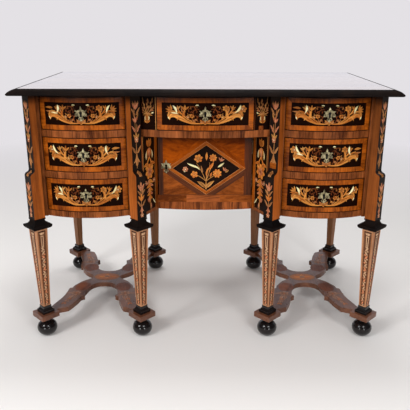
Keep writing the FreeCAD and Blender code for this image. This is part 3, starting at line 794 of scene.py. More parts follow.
for number, body in enumerate(drawers):
    half_p, half_q, bowed = front_of(body)
    unit = half_q - band_width
    panel = Panel(bowed, unit, seed=number)
    banded_ground(panel, half_p / unit, half_q / unit, band_width / unit)
    spread = min((half_p - band_width) / unit / drawing_half, widest_spread)
    level_place = spread_out(bowed, spread)
    for side in (1, -1):
        panel.place = rising(level_place, unit)
        scroll_half(panel, side)
        panel.place = level_place
        scroll_flowers(panel, number * 2 + (side < 0))
    panel.lay(body + "_marquetry", body, finishes=drawer_woods)
    print(body, "panel half height", round(unit * 1000, 1), "mm, spread", round(spread, 2))

# %% [markdown]
# Old brass
#
# The escutcheons are cast and pierced brass, never lacquered: brown in the hollows, pale
# where hands have rubbed them. One even metal would look new, so a group mixes a pale and
# a brown tone by a cloudy pattern, and small dents break up the light. A darker version
# serves the hinges of the cupboard door.

# %% Brass
brass_group, b_in, b_out = new_group(
    "Aged brass", dict(Place="Vector", Bright="Color", Brown="Color", Wear=0.5),
    dict(Color="Color", Roughness="Float", Height="Float"))
blotch = wire(brass_group, "TexNoise", Vector=b_in["Place"], Scale=110.0, Detail=3.0)["Fac"]
worn = math_node(brass_group, "MULTIPLY", remap(brass_group, blotch, 0.62, 0.4), b_in["Wear"], clamp=True)
brass_group.links.new(mix(brass_group, worn, b_in["Bright"], b_in["Brown"]), b_out["Color"])
brass_group.links.new(remap(brass_group, worn, 0.0, 1.0, 0.3, 0.6), b_out["Roughness"])
dent = wire(brass_group, "TexVoronoi", Vector=b_in["Place"], Scale=420.0)["Distance"]
brass_group.links.new(dent, b_out["Height"])
dent_depth = 0.0004


def brass_finish(name, bright, brown, wear):
    material, tree, shader = new_material(name)
    metal = wire(tree, "Group", {"node_tree": brass_group}, Place=here(tree),
                 Bright=shown(*bright), Brown=shown(*brown), Wear=wear)
    relief = wire(tree, "Bump", Height=metal["Height"], Strength=0.3, Distance=dent_depth)
    show(tree, metal, shader)
    tree.links.new(relief[0], shader["Normal"])
    shader["Metallic"].default_value = 0.85
    return material


old_brass = brass_finish("old brass", (170, 158, 122), (72, 62, 42), 0.85)
dark_brass = brass_finish("dark brass", (84, 62, 38), (44, 32, 20), 1.0)
print("metals:", old_brass.name, dark_brass.name)

# %% [markdown]
# Escutcheons
#
# Each keyhole has a pierced plate: a small shield round the hole, scrolls and coils at
# its sides, and a leaf above and below. A plain plate would hide the inlay behind it, so
# the scrolls are separate raised strips that let the ground show through.

# %% Escutcheon
plate_thickness = 0.0015
plate_edge = 0.00025
plate_level = 9


def escutcheon(body, node, place):
    """A pierced plate round a keyhole, in place of a solid one; its unit is half its height."""
    low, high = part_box(node)
    name = node.replace("_escutcheon", "_pierced_plate")
    panel = Panel(place, (high.z - low.z) / 2, seed=len(name))
    wide = (high.x - low.x) / 2 / panel.unit

    def shield(angle):
        return 0.4 + 0.03 * math.cos(4 * angle) + 0.26 * max(0.0, -math.sin(angle)) ** 3
    around_keyhole(panel, shield, (), 0, plate_level, halves=4, crown=0.0006)

    def coil(middle, radius, start, sweep, thick):
        """A ring or hook of brass round a middle point."""
        angle = math.radians(start)
        begin = (middle[0] * wide + radius * math.cos(angle), middle[1] + radius * math.sin(angle))
        panel.strip(begin, start + math.copysign(90, sweep), [(radius * math.radians(abs(sweep)), sweep)],
                    lambda t: thick * (1.2 - 0.5 * t), 0, plate_level, steps=14, crown=0.0004)

    def tip(spot, *shape):
        panel.leaf(spot, *shape[:4], 0, plate_level + 1, *shape[4:])
    for panel.side in (1, -1):
        panel.strip((0.06, 0.5), -4, [(0.4, -36), (0.34, -66), (0.34, -80)], lambda t: 0.19 - 0.05 * t, 0,
                    plate_level, steps=20, crown=0.0004)
        coil((0.56, -0.06), 0.16, 40, -300, 0.13)
        coil((0.2, -0.62), 0.12, 100, -260, 0.11)
        tip((0.52 * wide, 0.3), -128, 0.4, 0.14, 20, 0.7)
        tip((0.56 * wide, 0.34), 34, 0.3, 0.13, -40)
        tip((0.62 * wide, -0.16), -44, 0.26, 0.12, 50)
    panel.side = 1
    tip((0.0, 0.44), 90, 0.55, 0.22, 0, 1.0)
    tip((0.0, -0.5), -90, 0.49, 0.3, 0, 1.0)
    piece = panel.lay(name, body, [old_brass], plate_thickness)
    rim = piece.modifiers.new("softened edge", "BEVEL")
    rim.width = plate_edge
    rim.segments = 1
    rim.limit_method = "ANGLE"
    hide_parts(node)


for body in drawers:
    escutcheon(body, body + "_escutcheon", front_of(body)[2])
door_low, door_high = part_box("cupboard_door")
door_plate = middle_of("cupboard_door_escutcheon")
escutcheon("door", "cupboard_door_escutcheon", on_plane((door_plate.x, door_low.y, door_plate.z), (0, -1, 0)))
for name in ("door_hinge_leaves", "case_hinge_leaves"):
    dress(nodes[name], dark_brass)
print("pierced plates:", len(drawers) + 1)

# %% [markdown]
# Front posts
#
# Each front post stands cornerwise. One face is plain orange veneer, the other is ebony
# with a chain of flowers, and steps back above a rounded shoulder. The two faces are one
# board in the model, so one material reads which way the surface looks and answers with
# walnut or ebony. Each post's walnut has its own tone, partly its own colour and partly
# painted light and shade for the way its plain face turns to the lamps, and it darkens
# upwards as painted shade under the top.

# %% Post veneers
# Heights and shares of the painted shade that darkens the walnut upwards under the top.
post_painted_shade = (0.52, 0.66, 1.0, 0.6)
diagonal = math.sqrt(0.5)
# Each post's walnut: partly its own tone, partly painted light and shade for how its plain face turns to the
# lamps.
post_tones_and_painted_light = {"left_outer": ((187, 99, 36), (124, 61, 18)), "left_inner": ((194, 104, 40), (128, 64, 21)),
              "right_inner": ((203, 107, 39), (134, 66, 20)), "right_outer": ((149, 80, 31), (98, 49, 16))}


def post_finish(name, plain_side, light, dark):
    """Walnut where the surface looks to the plain side, ebony elsewhere."""
    def two_faced(tree, walnut):
        looks = wire(tree, "NewGeometry")["Normal"]
        toward = vector_math(tree, "DOT_PRODUCT", i0=looks, i1=plain_side)["Value"]
        black_wood = wire(tree, "Group", {"node_tree": grain}, Place=here(tree), Light=shown(30, 19, 13),
                          Dark=shown(14, 9, 6), Length=0.08, Width=0.003, Contrast=1.2)["Color"]
        height = wire(tree, "SeparateXYZ", Vector=here(tree))["Z"]
        # Painted shade: the walnut darkens upwards under the top.
        shaded_upwards = vector_math(tree, "SCALE", i0=walnut, Scale=remap(tree, height, *post_painted_shade))[0]
        return mix(tree, math_node(tree, "GREATER_THAN", toward, 0.9), black_wood, shaded_upwards)
    return recolour(finish(name, light, dark, length=0.12, width=0.005, turn=along_z, contrast=1.8,
                           coat=0.02, specular=0.06), two_faced)


post_facings = {}
for side, sign in (("left", -1), ("right", 1)):
    for row, way in (("outer", sign), ("inner", -sign)):
        name = f"{side}_{row}_front_post"
        post_facings[name] = ornamented = Vector((way * diagonal, -diagonal, 0))
        dress(nodes[name], post_finish(name + " veneers", (-ornamented.x, ornamented.y, 0),
                                       *post_tones_and_painted_light[f"{side}_{row}"]))
print("post facings:", {name: [round(v, 2) for v in facing] for name, facing in post_facings.items()})

# %% [markdown]
# Flowers on the posts
#
# A chain of flowers climbs each ornamented face: tulips, pairs of long lily leaves and
# bellflowers, in rosy and tan woods. Four drawings would drift apart, so it is drawn once
# and laid on each post by a placing function that knows the shoulder, with the left and
# right posts as mirror images. One post has an old repair.

# %% Post marquetry
post_half = 0.0177
post_set_back = 0.015
shoulder_low = 0.532
shoulder_rise = 0.022
tall_chain, low_chain = (0.556, 0.2065), (0.407, 0.122)
repair_half, repair_low, repair_high = 0.016, 0.557, 0.574


def step_back(z):
    """How far the ornamented face lies behind its lower plane at this height."""
    share = min(max((z - shoulder_low) / shoulder_rise * 2, 0.0), 2.0)
    half = post_set_back / 2
    if share <= 1:
        return half * (1 - math.sqrt(1 - share ** 2))
    return post_set_back - half * (1 - math.sqrt(1 - (2 - share) ** 2))


def on_post(x, y, outward):
    """Places points on a post's ornamented face; heights are real ones. Points beyond the
    face are drawn in towards its edge."""
    sideways = up.cross(outward)

    def place(p, q, lift):
        p = post_half * math.tanh(0.85 * p / post_half)
        return Vector((x, y, q)) + sideways * p + outward * (post_half - step_back(q) + lift)
    return place


def lily(panel, z, size, wood, spread=30):
    """Two long leaves that open upwards from z, and two short ones under them."""
    for way in (1, -1):
        for lean, length, width, turn, level, shape in ((1.3, 1, 0.16, -1.5, 2, (0.9, 0.9)),
                                                        (2.2, 0.6, 0.14, 1.6, 1, ())):
            panel.leaf((way * 0.001, z), 90 - way * spread * lean, size * length, size * width,
                       way * spread * turn, wood, level, *shape)


def bell(panel, z, size, wood):
    """A hanging bellflower: a long bud with two curled lips at its lower end."""
    panel.leaf((0, z + size), -90, size, size * 0.24, 0, wood, 3, 1.6, 0.5)
    for way in (1, -1):
        panel.leaf((way * 0.001, z + size * 0.62), -90 + way * 16, size * 0.5, size * 0.1, way * 50, wood, 2)


def post_chain(panel, tall):
    """The flowers of one face; tall ones are drawn above the shoulder, the rest below."""
    base, length = tall_chain if tall else low_chain
    panel.stem((0, base), 90, [(length * 0.9, 4)], 0.0019, 0.0013, STEM, 0, steps=16)

    def bud(p, rise, size, wood):
        panel.tulip((p, base + rise), 96 if p else 90, size, wood, 3)

    def blade(p, rise, heading, length, turn, wood):
        panel.leaf((p, base + rise), heading, length, 0.0045, turn, wood, 2)
    if tall:
        bell(panel, base + 0.004, 0.050, STEM)
        lily(panel, base + 0.046, 0.046, STEM)
        bud(0.0, 0.086, 0.022, BOX)
        panel.flower((0.0, base + 0.086), 0.0085, 5, PLUM, BONE, turn=90, level=6)
        lily(panel, base + 0.108, 0.036, PLUM, 26)
        blade(0.001, 0.104, 66, 0.03, 40, STEM)
        bud(-0.002, 0.136, 0.020, PLUM)
        blade(0.001, 0.146, 40, 0.022, 40, BOX)
        blade(-0.001, 0.150, 140, 0.022, -40, STEM)
        lily(panel, base + 0.158, 0.036, STEM, 26)
        bud(0.0, 0.174, 0.026, PLUM)
        lily(panel, base + 0.182, 0.022, BOX, 20)
    else:
        panel.flower((0.0, base + 0.006), 0.0075, 5, PLUM, BONE, turn=90, level=4)
        bell(panel, base + 0.010, 0.030, PLUM)
        lily(panel, base + 0.034, 0.036, STEM, 28)
        bud(0.0, 0.050, 0.024, FRUIT)
        lily(panel, base + 0.068, 0.030, STEM, 26)
        bud(0.0, 0.082, 0.028, PLUM)
        blade(0.001, 0.080, 130, 0.026, -30, BOX)
        blade(0.001, 0.074, 52, 0.024, 34, STEM)


post_centres = {}
for name, facing in post_facings.items():
    foot_name = name.replace("_front_post", "_front_leg")
    low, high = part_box(foot_name)
    post_centres[foot_name] = x, y = (low.x + high.x) / 2, (low.y + high.y) / 2
    panel = Panel(on_post(x, y, facing), seed=len(post_centres))
    panel.side = -1 if facing.x < 0 else 1
    post_chain(panel, True)
    post_chain(panel, False)
    panel.flower((0.0, shoulder_low + shoulder_rise * 0.42), 0.0085, 5, STEM, BOX, turn=90, level=6)
    panel.side = 1
    if name == "right_inner_front_post":
        panel.oblong(-repair_half, repair_half, repair_low, repair_high, BAND, 7)
    panel.lay(name + "_marquetry", "case")
print("posts:", {name: [round(v, 3) for v in spot] for name, spot in post_centres.items()})

# %% [markdown]
# Frieze flanks
#
# Beside the middle drawer two narrow ebony fields carry a leafy vase with a fan of stems
# and pink flowers. They follow the same bow as the drawer. A thin line closes each field
# where it meets the drawer, pale at the left and dark at the right, and the right one has
# an old repair in orange veneer at its foot. The drawer's box slides past the fields'
# inner ends, so the flowers are drawn in towards each field's middle and never reach it.

# %% Flank marquetry
flank_middle = 0.1665
flank_half = 0.0235
flank_room = flank_half - 0.0035
flank_overlap = 0.006
frieze_low, frieze_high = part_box("frieze_drawer_front")


def narrowed(panel):
    """Draws towards the field's middle whatever would cross its edge."""
    field = panel.place

    def place(p, q, lift):
        share = (panel.side * p - flank_middle) / flank_room
        return field(panel.side * (flank_middle + flank_room * math.tanh(share)), q, lift)
    return place


def flank(panel, repaired):
    """Vase and fan of flowers; heights count from the foot of the field."""
    height = frieze_high.z - frieze_low.z + flank_overlap
    inner = flank_middle - flank_half
    panel.oblong(inner, flank_middle + flank_half, 0, height, EBONY, 0, steps=10)
    panel.line((inner + 0.0016, 0.0005), height - 0.001, 0.0013, PADOUK if repaired else BOX)
    panel.place = narrowed(panel)
    foot = (flank_middle + (0.001 if repaired else 0.0045), 0.0175)
    panel.leaf(foot, 90, 0.030, 0.0105, 0, FRUIT, 4, 1.3, 0.9)
    for way in (1, -1):
        for rise, lean, length, width, turn, wood, dark in (
                (0.003, 62, 0.0135, 0.0042, 46, FRUIT, 0.3), (0.010, 58, 0.0145, 0.0046, 70, BONE, 1.0),
                (0.019, 60, 0.0125, 0.004, 60, STEM, 0.6)):
            panel.leaf((foot[0] + way * 0.001, foot[1] + rise), 90 - way * lean, length, width, way * turn,
                       wood, 3, 0.8, dark)
    fan = (foot[0], foot[1] + 0.027)
    for lean, length, wood, tip_wood in (
            (-4, 0.036, STEM, PLUM), (17, 0.047, BOX, BOX), (-20, 0.044, STEM, FRUIT),
            (38, 0.036, STEM, PLUM), (-42, 0.035, PLUM, STEM)):
        runs = [(length, -lean * 0.5)]
        tip, heading = panel.stem(fan, 90 - lean, runs, 0.0021, 0.0013, wood, 2)
        panel.leaf(tip, heading + lean * 0.3, 0.0115, 0.0042, lean, tip_wood, 3)
        for share, way, twig_wood in ((0.36, 1, PLUM), (0.5, -1, BOX), (0.7, 1, PLUM), (0.86, -1, STEM)):
            start = follow(fan, 90 - lean, runs, share)[:2]
            panel.leaf(start, heading - way * 36, 0.0105, 0.0032, way * 34, twig_wood, 3)
    for way in (1, -1):
        tip, heading = panel.stem(fan, 90 - way * 62, [(0.0155, way * -24)], 0.002, 0.0014, BOX, 2)
        panel.leaf(tip, heading + way * 16, 0.0125, 0.0042, way * -20, BONE if way < 0 else PLUM, 4, 0.8, 0.2)
        panel.tulip((tip[0], tip[1] + 0.006), 90 - way * 36, 0.0125, PLUM, 4)
        panel.leaf(fan, 90 - way * 84, 0.019, 0.0042, way * -30, BOX if way < 0 else STEM, 3)
    if repaired:
        mid = flank_middle - 0.003
        panel.oblong(mid - 0.007, mid + 0.007, 0.0004, 0.0125, BAND, 6, grain=90)


for side in (-1, 1):
    panel = Panel(on_bow(0.0, frieze_low.y, frieze_low.z, frieze_half), seed=20 + side)
    panel.side = side
    flank(panel, side > 0)
    panel.lay(("left" if side < 0 else "right") + "_flank_marquetry", "case", finishes=drawer_woods)
print("flank height", round((frieze_high.z - frieze_low.z) * 1000, 1), "mm")

# %% [markdown]
# Recess cheeks
#
# The recess narrows towards the cupboard door between two slanting cheeks. Each has an
# ebony field framed in orange veneer at the door side and below, and a chain hangs down
# it: a cup, a knotted pair of scrolls, a large open flower between white blades, a spine
# of leaves and a last bud. The two cheeks are one drawing, turned over for the other side.

# %% Cheek marquetry
def cheek_chain(panel, middle):
    """The hanging chain; heights are counted from the cheek's middle."""
    def leaf(p, q, *shape):
        panel.leaf((middle + p, q), *shape)

    def stem(q, heading, runs, thick, thin, wood):
        panel.stem((middle, q), heading, runs, thick, thin, wood, 2)
    for lean in (-40, 0, 40):
        leaf(0, 0.088, 90 + lean, 0.026, 0.013, lean * -0.6, FRUIT, 3)
    for way in (1, -1):
        stem(0.09, 90 - way * 100, [(0.022, way * 120), (0.012, way * 150)], 0.0036, 0.0018, STEM)
        leaf(way * 0.004, 0.084, 90 - way * 150, 0.034, 0.0085, way * -30, FRUIT, 3)
        leaf(way * 0.017, 0.05, 90 - way * 16, 0.028, 0.0044, way * 50, BONE, 4, 0.8, 0.2)
        leaf(way * 0.008, 0.058, 90 - way * 64, 0.02, 0.006, way * 80, PADOUK, 3)
        leaf(way * 0.006, 0.046, -90 + way * 64, 0.02, 0.006, way * -60, PADOUK, 1)
        stem(0.056, -90 + way * 40, [(0.034, way * -30)], 0.004, 0.003, FRUIT)
        leaf(way * 0.012, 0.036, -90 + way * 20, 0.02, 0.007, way * 40, BOX, 2)
        leaf(way * 0.004, 0.03, 90 - way * 60, 0.03, 0.012, way * -60, FRUIT, 2)
        panel.flower((middle + way * 0.024, -0.022), 0.0075, 5, PLUM, BONE, level=3)
    leaf(0, 0.086, -90, 0.034, 0.0085, 0, PLUM, 3, 0.9, 0.4)
    panel.flower((middle, 0.01), 0.0245, 7, FRUIT, STEM, turn=90, level=4)
    panel.flower((middle, 0.01), 0.0125, 6, PLUM, PADOUK, turn=60, level=7)
    for step in range(5):
        q = -0.014 - step * 0.0135
        for way in (1, -1):
            leaf(0, q, -90 + way * (38 + 6 * (step % 2)), 0.026 - step * 0.002, 0.0085, way * 36,
                 FRUIT if (step + (way > 0)) % 2 else PLUM, 2 + step % 2)
        leaf(0, q, -90, 0.019, 0.009, 0, FRUIT, 4)
    stem(-0.078, -96, [(0.034, 20)], 0.003, 0.002, BOX)
    panel.tulip((middle - 0.008, -0.088), 80, 0.017, PLUM, 4)
    leaf(0.016, -0.08, -58, 0.026, 0.0042, 12, BONE, 4, 0.9, 0.2)
    leaf(0.004, -0.09, -84, 0.02, 0.005, 6, PLUM, 4, 0.9, 0.2)


cheek_low, cheek_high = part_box("left_recess_cheek")
cheek_front = Vector((-0.186, -0.243, 0))
cheek_rear = Vector((-0.150, door_low.y, 0))
cheek_run = cheek_rear - cheek_front
cheek_half = cheek_run.length / 2
cheek_band = 0.015
cheek_foot_band = 0.011
FOOT = len(woods)
for side in (-1, 1):
    centre = (cheek_front + cheek_rear) / 2 + up * ((cheek_low.z + cheek_high.z) / 2)
    outward = Vector((cheek_run.y, -cheek_run.x, 0))
    if side > 0:
        centre.x, outward.x = -centre.x, -outward.x
    panel = Panel(on_plane(centre, outward), seed=30 + side)
    panel.side = -side
    half_q = (cheek_high.z - cheek_low.z) / 2
    rear, foot = cheek_half - cheek_band, cheek_foot_band - half_q
    panel.oblong(-cheek_half, rear, foot, half_q, EBONY, 0)
    panel.patch([(rear, foot), (cheek_half, -half_q), (cheek_half, half_q), (rear, half_q)], BAND, 0,
                grain=90)
    panel.patch([(-cheek_half, -half_q), (cheek_half, -half_q), (rear, foot), (-cheek_half, foot)], FOOT, 0)
    panel.line((0.0022 - cheek_half, foot), half_q - foot, 0.0014, BOX)
    panel.line((rear - 0.001, foot), half_q - foot, 0.0011, STEM)
    cheek_chain(panel, (rear - cheek_half) / 2 + 0.002)
    panel.lay(("left" if side < 0 else "right") + "_cheek_marquetry", "case", finishes=woods + [rail_veneer])
print("cheek", round(cheek_half * 2000, 1), "mm wide")

# %% [markdown]
# Cupboard door
#
# The door has an ebony diamond in an orange band, and round it four corner veneers whose
# grain runs parallel to the diamond's sides, so that they mirror one another. One sheet
# could turn its grain by place, but separate sheets meet in clean mitres as real veneers
# do. Stiles close the door at its two ends; their dark colour, also on the band's lower
# strips, is painted shade cast by the cheeks, and the upper door darkens as painted shade
# under the frieze. A bouquet fills the diamond: open flowers, buds, golden leaves at its
# foot, and two white blades. A dark sheet of painted shade marks the keyhole's mouth.

# %% Door ground
diamond = Vector((0.004, 0.5325))
diamond_half = Vector((0.106, 0.0745))
diamond_band = 0.0105
outer_band = 0.02
# Widths of the stiles, which carry the painted shade at the door's ends.
left_stile, right_stile = 0.014, 0.023
door_margin = 0.0004
quarter_veneer = finish("upper door veneer", (190, 87, 6), (116, 46, 1), length=0.03, width=0.008,
                        contrast=2.2, coat=0.0, specular=0.03, shelter=painted_shade_under_frieze)
lower_veneer = finish("lower door veneer", (160, 83, 29), (96, 43, 11), length=0.025, width=0.008,
                      contrast=2.4, **matt)
# Painted shade: the stiles' dark colour stands for shadow cast by the cheeks.
stile_painted_shade = finish("stiles in painted shade", (98, 46, 14), (48, 20, 4), length=0.06, width=0.004, contrast=2.0,
                    shelter=painted_shade_under_frieze)
sill_veneer = finish("sill crossbanding", (166, 88, 40), (78, 36, 14), length=0.05, width=0.004,
                     contrast=2.8, coat=0.0, specular=0.06)
door_woods = woods + [quarter_veneer, lower_veneer, stile_painted_shade, sill_veneer]
QUARTER, LOWER, SHADED_STILE, SILL = range(len(woods), len(door_woods))


def ring(half):
    """The corners of a diamond round the door's one."""
    cx, cz = diamond
    return [(cx + half.x, cz), (cx, cz + half.y), (cx - half.x, cz), (cx, cz - half.y)]


def door_ground(panel):
    """Stiles, quartered veneers, band and ebony diamond, in real places on the door."""
    left, right = door_low.x + door_margin, door_high.x - door_margin
    low, high = door_low.z + door_margin, door_high.z - door_margin
    cx, cz = diamond
    outer = diamond_half + Vector((diamond_band * 1.55, diamond_band * 1.05))
    lean = math.degrees(math.atan2(outer.y, outer.x))
    in_left, in_right = left + left_stile, right - right_stile
    for x0, x1 in ((left, in_left), (in_right, right)):
        panel.oblong(x0, x1, low, high, SHADED_STILE, 0, grain=90)
    slope = outer.y / outer.x
    for x_side, z_side, x_edge, z_edge in ((1, 1, in_right, high), (-1, 1, in_left, high),
                                           (-1, -1, in_left, low), (1, -1, in_right, low)):
        wood = QUARTER if z_side > 0 else LOWER
        corners = [(cx, cz), (x_edge, cz), (x_edge, z_edge), (cx, z_edge)]
        edge_rise = outer.y + outer_band - slope * abs(x_edge - cx)
        edge_run = max(0.0, (outer.y + outer_band - abs(z_edge - cz)) / slope)
        strip_end = cz + z_side * min(abs(z_edge - cz), outer.y + outer_band)
        strip = [(cx + x_side * outer.x, cz), (x_edge, cz + z_side * edge_rise),
                 (cx + x_side * edge_run, strip_end), (cx, cz + z_side * outer.y)]
        if x_side * z_side < 0:
            corners, strip = ([four[k] for k in (0, 3, 2, 1)] for four in (corners, strip))
        panel.patch(corners, wood, 0, grain=lean * 0.4 * x_side * z_side)
        # The band's lower strips take the stiles' painted shade.
        panel.patch(strip, SHADED_STILE if z_side < 0 else wood, 1, grain=-lean * x_side * z_side)
    corner, inner = ring(outer), ring(diamond_half)
    panel.patch(inner[-1:] + inner[:3], EBONY, 2)
    for k in range(4):
        nxt = (k + 1) % 4
        way = math.degrees(math.atan2(corner[nxt][1] - corner[k][1], corner[nxt][0] - corner[k][0]))
        panel.patch([corner[k], corner[nxt], inner[nxt], inner[k]], BAND, 2, grain=way)
        for edge in (corner, inner):
            run = math.dist(edge[k], edge[nxt])
            panel.strip(edge[k], way, [(run, 0)], lambda t: 0.0009, STEM, 3, steps=1, halves=1)


# %% Bouquet
def bouquet(panel):
    """The flowers in the diamond, in metres from its middle."""
    cx, cz = diamond

    def at(p, q):
        return (cx + p, cz + q)
    foot = at(-0.001, -0.068)
    panel.stem(foot, 88, [(0.03, 4)], 0.005, 0.003, BOX, 4)
    for way, lean in ((1, 36), (-1, 40)):
        panel.leaf((foot[0], foot[1] + 0.004), 90 - way * lean, 0.036, 0.011, way * -24, BOX, 5, 0.8, 0.8)
    fork = (foot[0], foot[1] + 0.026)
    for lean, length, bend in ((46, 0.045, -24), (-44, 0.042, 26), (6, 0.044, -8), (-20, 0.066, 14),
                               (16, 0.058, -10)):
        panel.stem(fork, 90 - lean, [(length, bend)], 0.0016, 0.0012, BOX, 4)
    panel.stem(at(0.004, -0.03), 72, [(0.05, 22)], 0.0014, 0.001, BOX, 4)
    for p, q, radius, petals, wood, heart, turn, level in (
            (-0.025, 0.032, 0.0135, 6, FRUIT, BOX, 15, 6), (0.021, 0.034, 0.0125, 8, FRUIT, STEM, 5, 6),
            (0.021, 0.034, 0.007, 6, FRUIT, BOX, 35, 9), (-0.038, -0.0195, 0.0115, 5, FRUIT, BOX, 40, 6),
            (-0.038, -0.0195, 0.006, 5, FRUIT, STEM, 70, 9), (0.034, -0.016, 0.0145, 8, FRUIT, STEM, 20, 6),
            (0.034, -0.016, 0.008, 6, FRUIT, BOX, 0, 9), (-0.066, -0.003, 0.009, 6, PLUM, BONE, 10, 6)):
        panel.flower(at(p, q), radius, petals, wood, heart, turn, level)
    for p, q, *shape in ((-0.069, -0.012, 74, 0.008, BONE, 5), (0.044, 0.022, 70, 0.015, PLUM, 6),
                         (0.055, -0.008, 60, 0.013, PLUM, 6)):
        panel.tulip(at(p, q), *shape)
    for p, q, *shape in (
            (0.058, -0.012, 10, 0.015, 0.004, 40, BOX, 5),
            (0.0, 0.026, 84, 0.026, 0.007, 8, FRUIT, 6, 0.9, 0.4),
            (0.006, -0.004, 46, 0.03, 0.0085, 20, FRUIT, 6, 0.9, 0.5),
            (0.0, -0.024, 86, 0.028, 0.0055, -16, FRUIT, 5), (0.012, -0.028, 78, 0.017, 0.006, -20, FRUIT, 5),
            (-0.012, -0.014, 96, 0.024, 0.0045, 12, STEM, 5)):
        panel.leaf(at(p, q), *shape)
    panel.strip(at(-0.0215, -0.004), 122, [(0.017, 42), (0.028, -14)],
                lambda t: 0.0062 * math.sin(math.pi * (0.08 + 0.9 * t)), BONE, 8,
                scorch=lambda t, s: 0.1 * (1 - t))
    panel.leaf(at(0.036, 0.004), 32, 0.025, 0.0062, 8, BONE, 8, 0.8, 0.05)


def door_keyhole_shade(panel):
    """A dark sheet of painted shade for the keyhole's mouth behind the pierced plate: a round eye over a
    slot.
    """
    eye_x, eye_z = door_plate.x, door_plate.z + keyhole_rise
    # Painted shade: a dark eye and slot stand for the darkness inside the keyhole.
    panel.disc((eye_x, eye_z), keyhole_radius * 1.1, EBONY, 5)
    half = keyhole_half_slot * 1.15
    panel.oblong(eye_x - half, eye_x + half, eye_z - keyhole_drop - 0.0004, eye_z, EBONY, 4)


panel = Panel(on_plane((0, door_low.y, 0), (0, -1, 0)), seed=40)
door_ground(panel)
bouquet(panel)
door_keyhole_shade(panel)
panel.lay("cupboard_door_marquetry", "door", finishes=door_woods)
print("diamond", round(diamond_half.x * 2000), "by", round(diamond_half.y * 2000), "mm")

# %% [markdown]
# Sill
#
# The sill under the door is arched a little at its lower edge. Along the arch runs a
# crossband, and above it lie three lengths of plain veneer. One sheet could be bent to the
# arch, but short tiles follow it too and show the joints that a real crossband has.

# %% Sill veneer
sill_low, sill_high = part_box("cupboard_sill")
sill_sag, sill_crossband = 0.005, 0.027
sill_half = sill_high.x
sill_line = sill_low.z + sill_crossband
sill_tiles = 10
sill_joints = (-sill_half, -0.059, 0.048, sill_half)


def sill_foot(x):
    """Height of the sill's arched lower edge."""
    return sill_low.z + sill_sag * (x / sill_half) ** 2


panel = Panel(on_plane((0, sill_low.y, 0), (0, -1, 0)), seed=41)
for k in range(sill_tiles):
    x0, x1 = (sill_half * (2 * step / sill_tiles - 1) for step in (k, k + 1))
    panel.patch([(x0, sill_foot(x0)), (x1, sill_foot(x1)), (x1, sill_line), (x0, sill_line)], SILL, 0,
                grain=90)
for k, wood in enumerate((LOWER, SILL, LOWER)):
    panel.oblong(*sill_joints[k:k + 2], sill_line, sill_high.z - 0.0003, wood, 0, grain=4)
panel.lay("cupboard_sill_veneer", "case", finishes=door_woods)
print("sill", round(sill_half * 2000), "mm long")

# %% [markdown]
# Legs
#
# The square legs taper towards the feet. On each face of the front legs dark strings
# frame a strip in which a chain of pale leaves climbs from side to side, and the arrises
# stay plain and tan. Every width could be worked out for its height, but a placing function
# that narrows with the leg tapers the whole drawing at once.

# %% Leg inlay
leg_low, leg_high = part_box("left_outer_front_leg")
leg_foot_half, leg_head_half = 0.0117, 0.0203
leg_steps = 15
leg_woods = woods + [
    finish("dark leg strip", (116, 70, 46), (64, 36, 22), length=0.06, width=0.002, contrast=1.6),
    finish("pale leg leaves", (224, 184, 146), (166, 122, 86), burnt=scorched, **inlay)]
STRIP, PALE = len(woods), len(woods) + 1


def on_leg(x, y, outward):
    """Places points on a tapering face; p runs from -1 to 1 between its arrises."""
    outward = Vector(outward).normalized()
    sideways = up.cross(outward)

    def place(p, q, lift):
        share = (q - leg_low.z) / (leg_high.z - leg_low.z)
        half = leg_foot_half + (leg_head_half - leg_foot_half) * share
        return Vector((x, y, q)) + sideways * p * half + outward * (half + lift)
    return place


def leg_face(panel):
    """Strings, a framed heading, and a zigzag of leaves up the middle."""
    low, high = leg_low.z + 0.004, leg_high.z - 0.006
    heading_low = high - 0.055

    def tapered(half_foot, half_head, foot, head, wood, level, grain=0.0):
        panel.patch([(-half_foot, foot), (half_foot, foot), (half_head, head), (-half_head, head)],
                    wood, level, grain=grain)
    tapered(0.52, 0.52, low, high, STRIP, 0, 90)
    for p in (-0.58, 0.58):
        panel.line((p, low), high - low, 0.07, EBONY)
        panel.line((p * 1.24, low), high - low, 0.06, BAND)
    tapered(0.58, 0.58, high - 0.002, high, EBONY, 2)
    step = (heading_low - low) / leg_steps
    for k in range(leg_steps):
        q = low + step * (k + 0.2)
        way = 1 if k % 2 else -1
        for shape, wood, grain in (
                (((-0.3, 0), (0.12, 0.2), (0.36, 0.95), (-0.08, 0.7)), PALE if k % 3 else PLUM, 60),
                (((0.06, -0.2), (0.42, -0.05), (0.3, 0.24), (0.02, 0.08)), PLUM if k % 2 else PALE, 20)):
            panel.patch([(way * p, q + step * rise) for p, rise in shape[::way]], wood, 2, grain=grain)
    tapered(0.2, 0.26, heading_low, heading_low + 0.04, PALE, 2, 90)
    tapered(0.05, 0.12, heading_low + 0.005, heading_low + 0.036, STRIP, 3, 90)
    tapered(0.3, 0.4, heading_low + 0.043, heading_low + 0.05, PALE, 2)


for foot_name, (x, y) in post_centres.items():
    panel = Panel(None, seed=50)
    for way in (-1, 1):
        panel.place = on_leg(x, y, (way, -1, 0))
        panel.side = way
        leg_face(panel)
    panel.lay(foot_name + "_inlay", "case", leg_woods)
print("inlaid legs:", len(post_centres))

# %% [markdown]
# Stretchers
#
# The flat X-shaped stretchers are inlaid too: an oval medallion where the arms cross, a
# dark reddish panel on each arm, and a rosette at the ear with leaves running on to the
# foot. The arms are alike, so one is drawn and the other three mirror it.

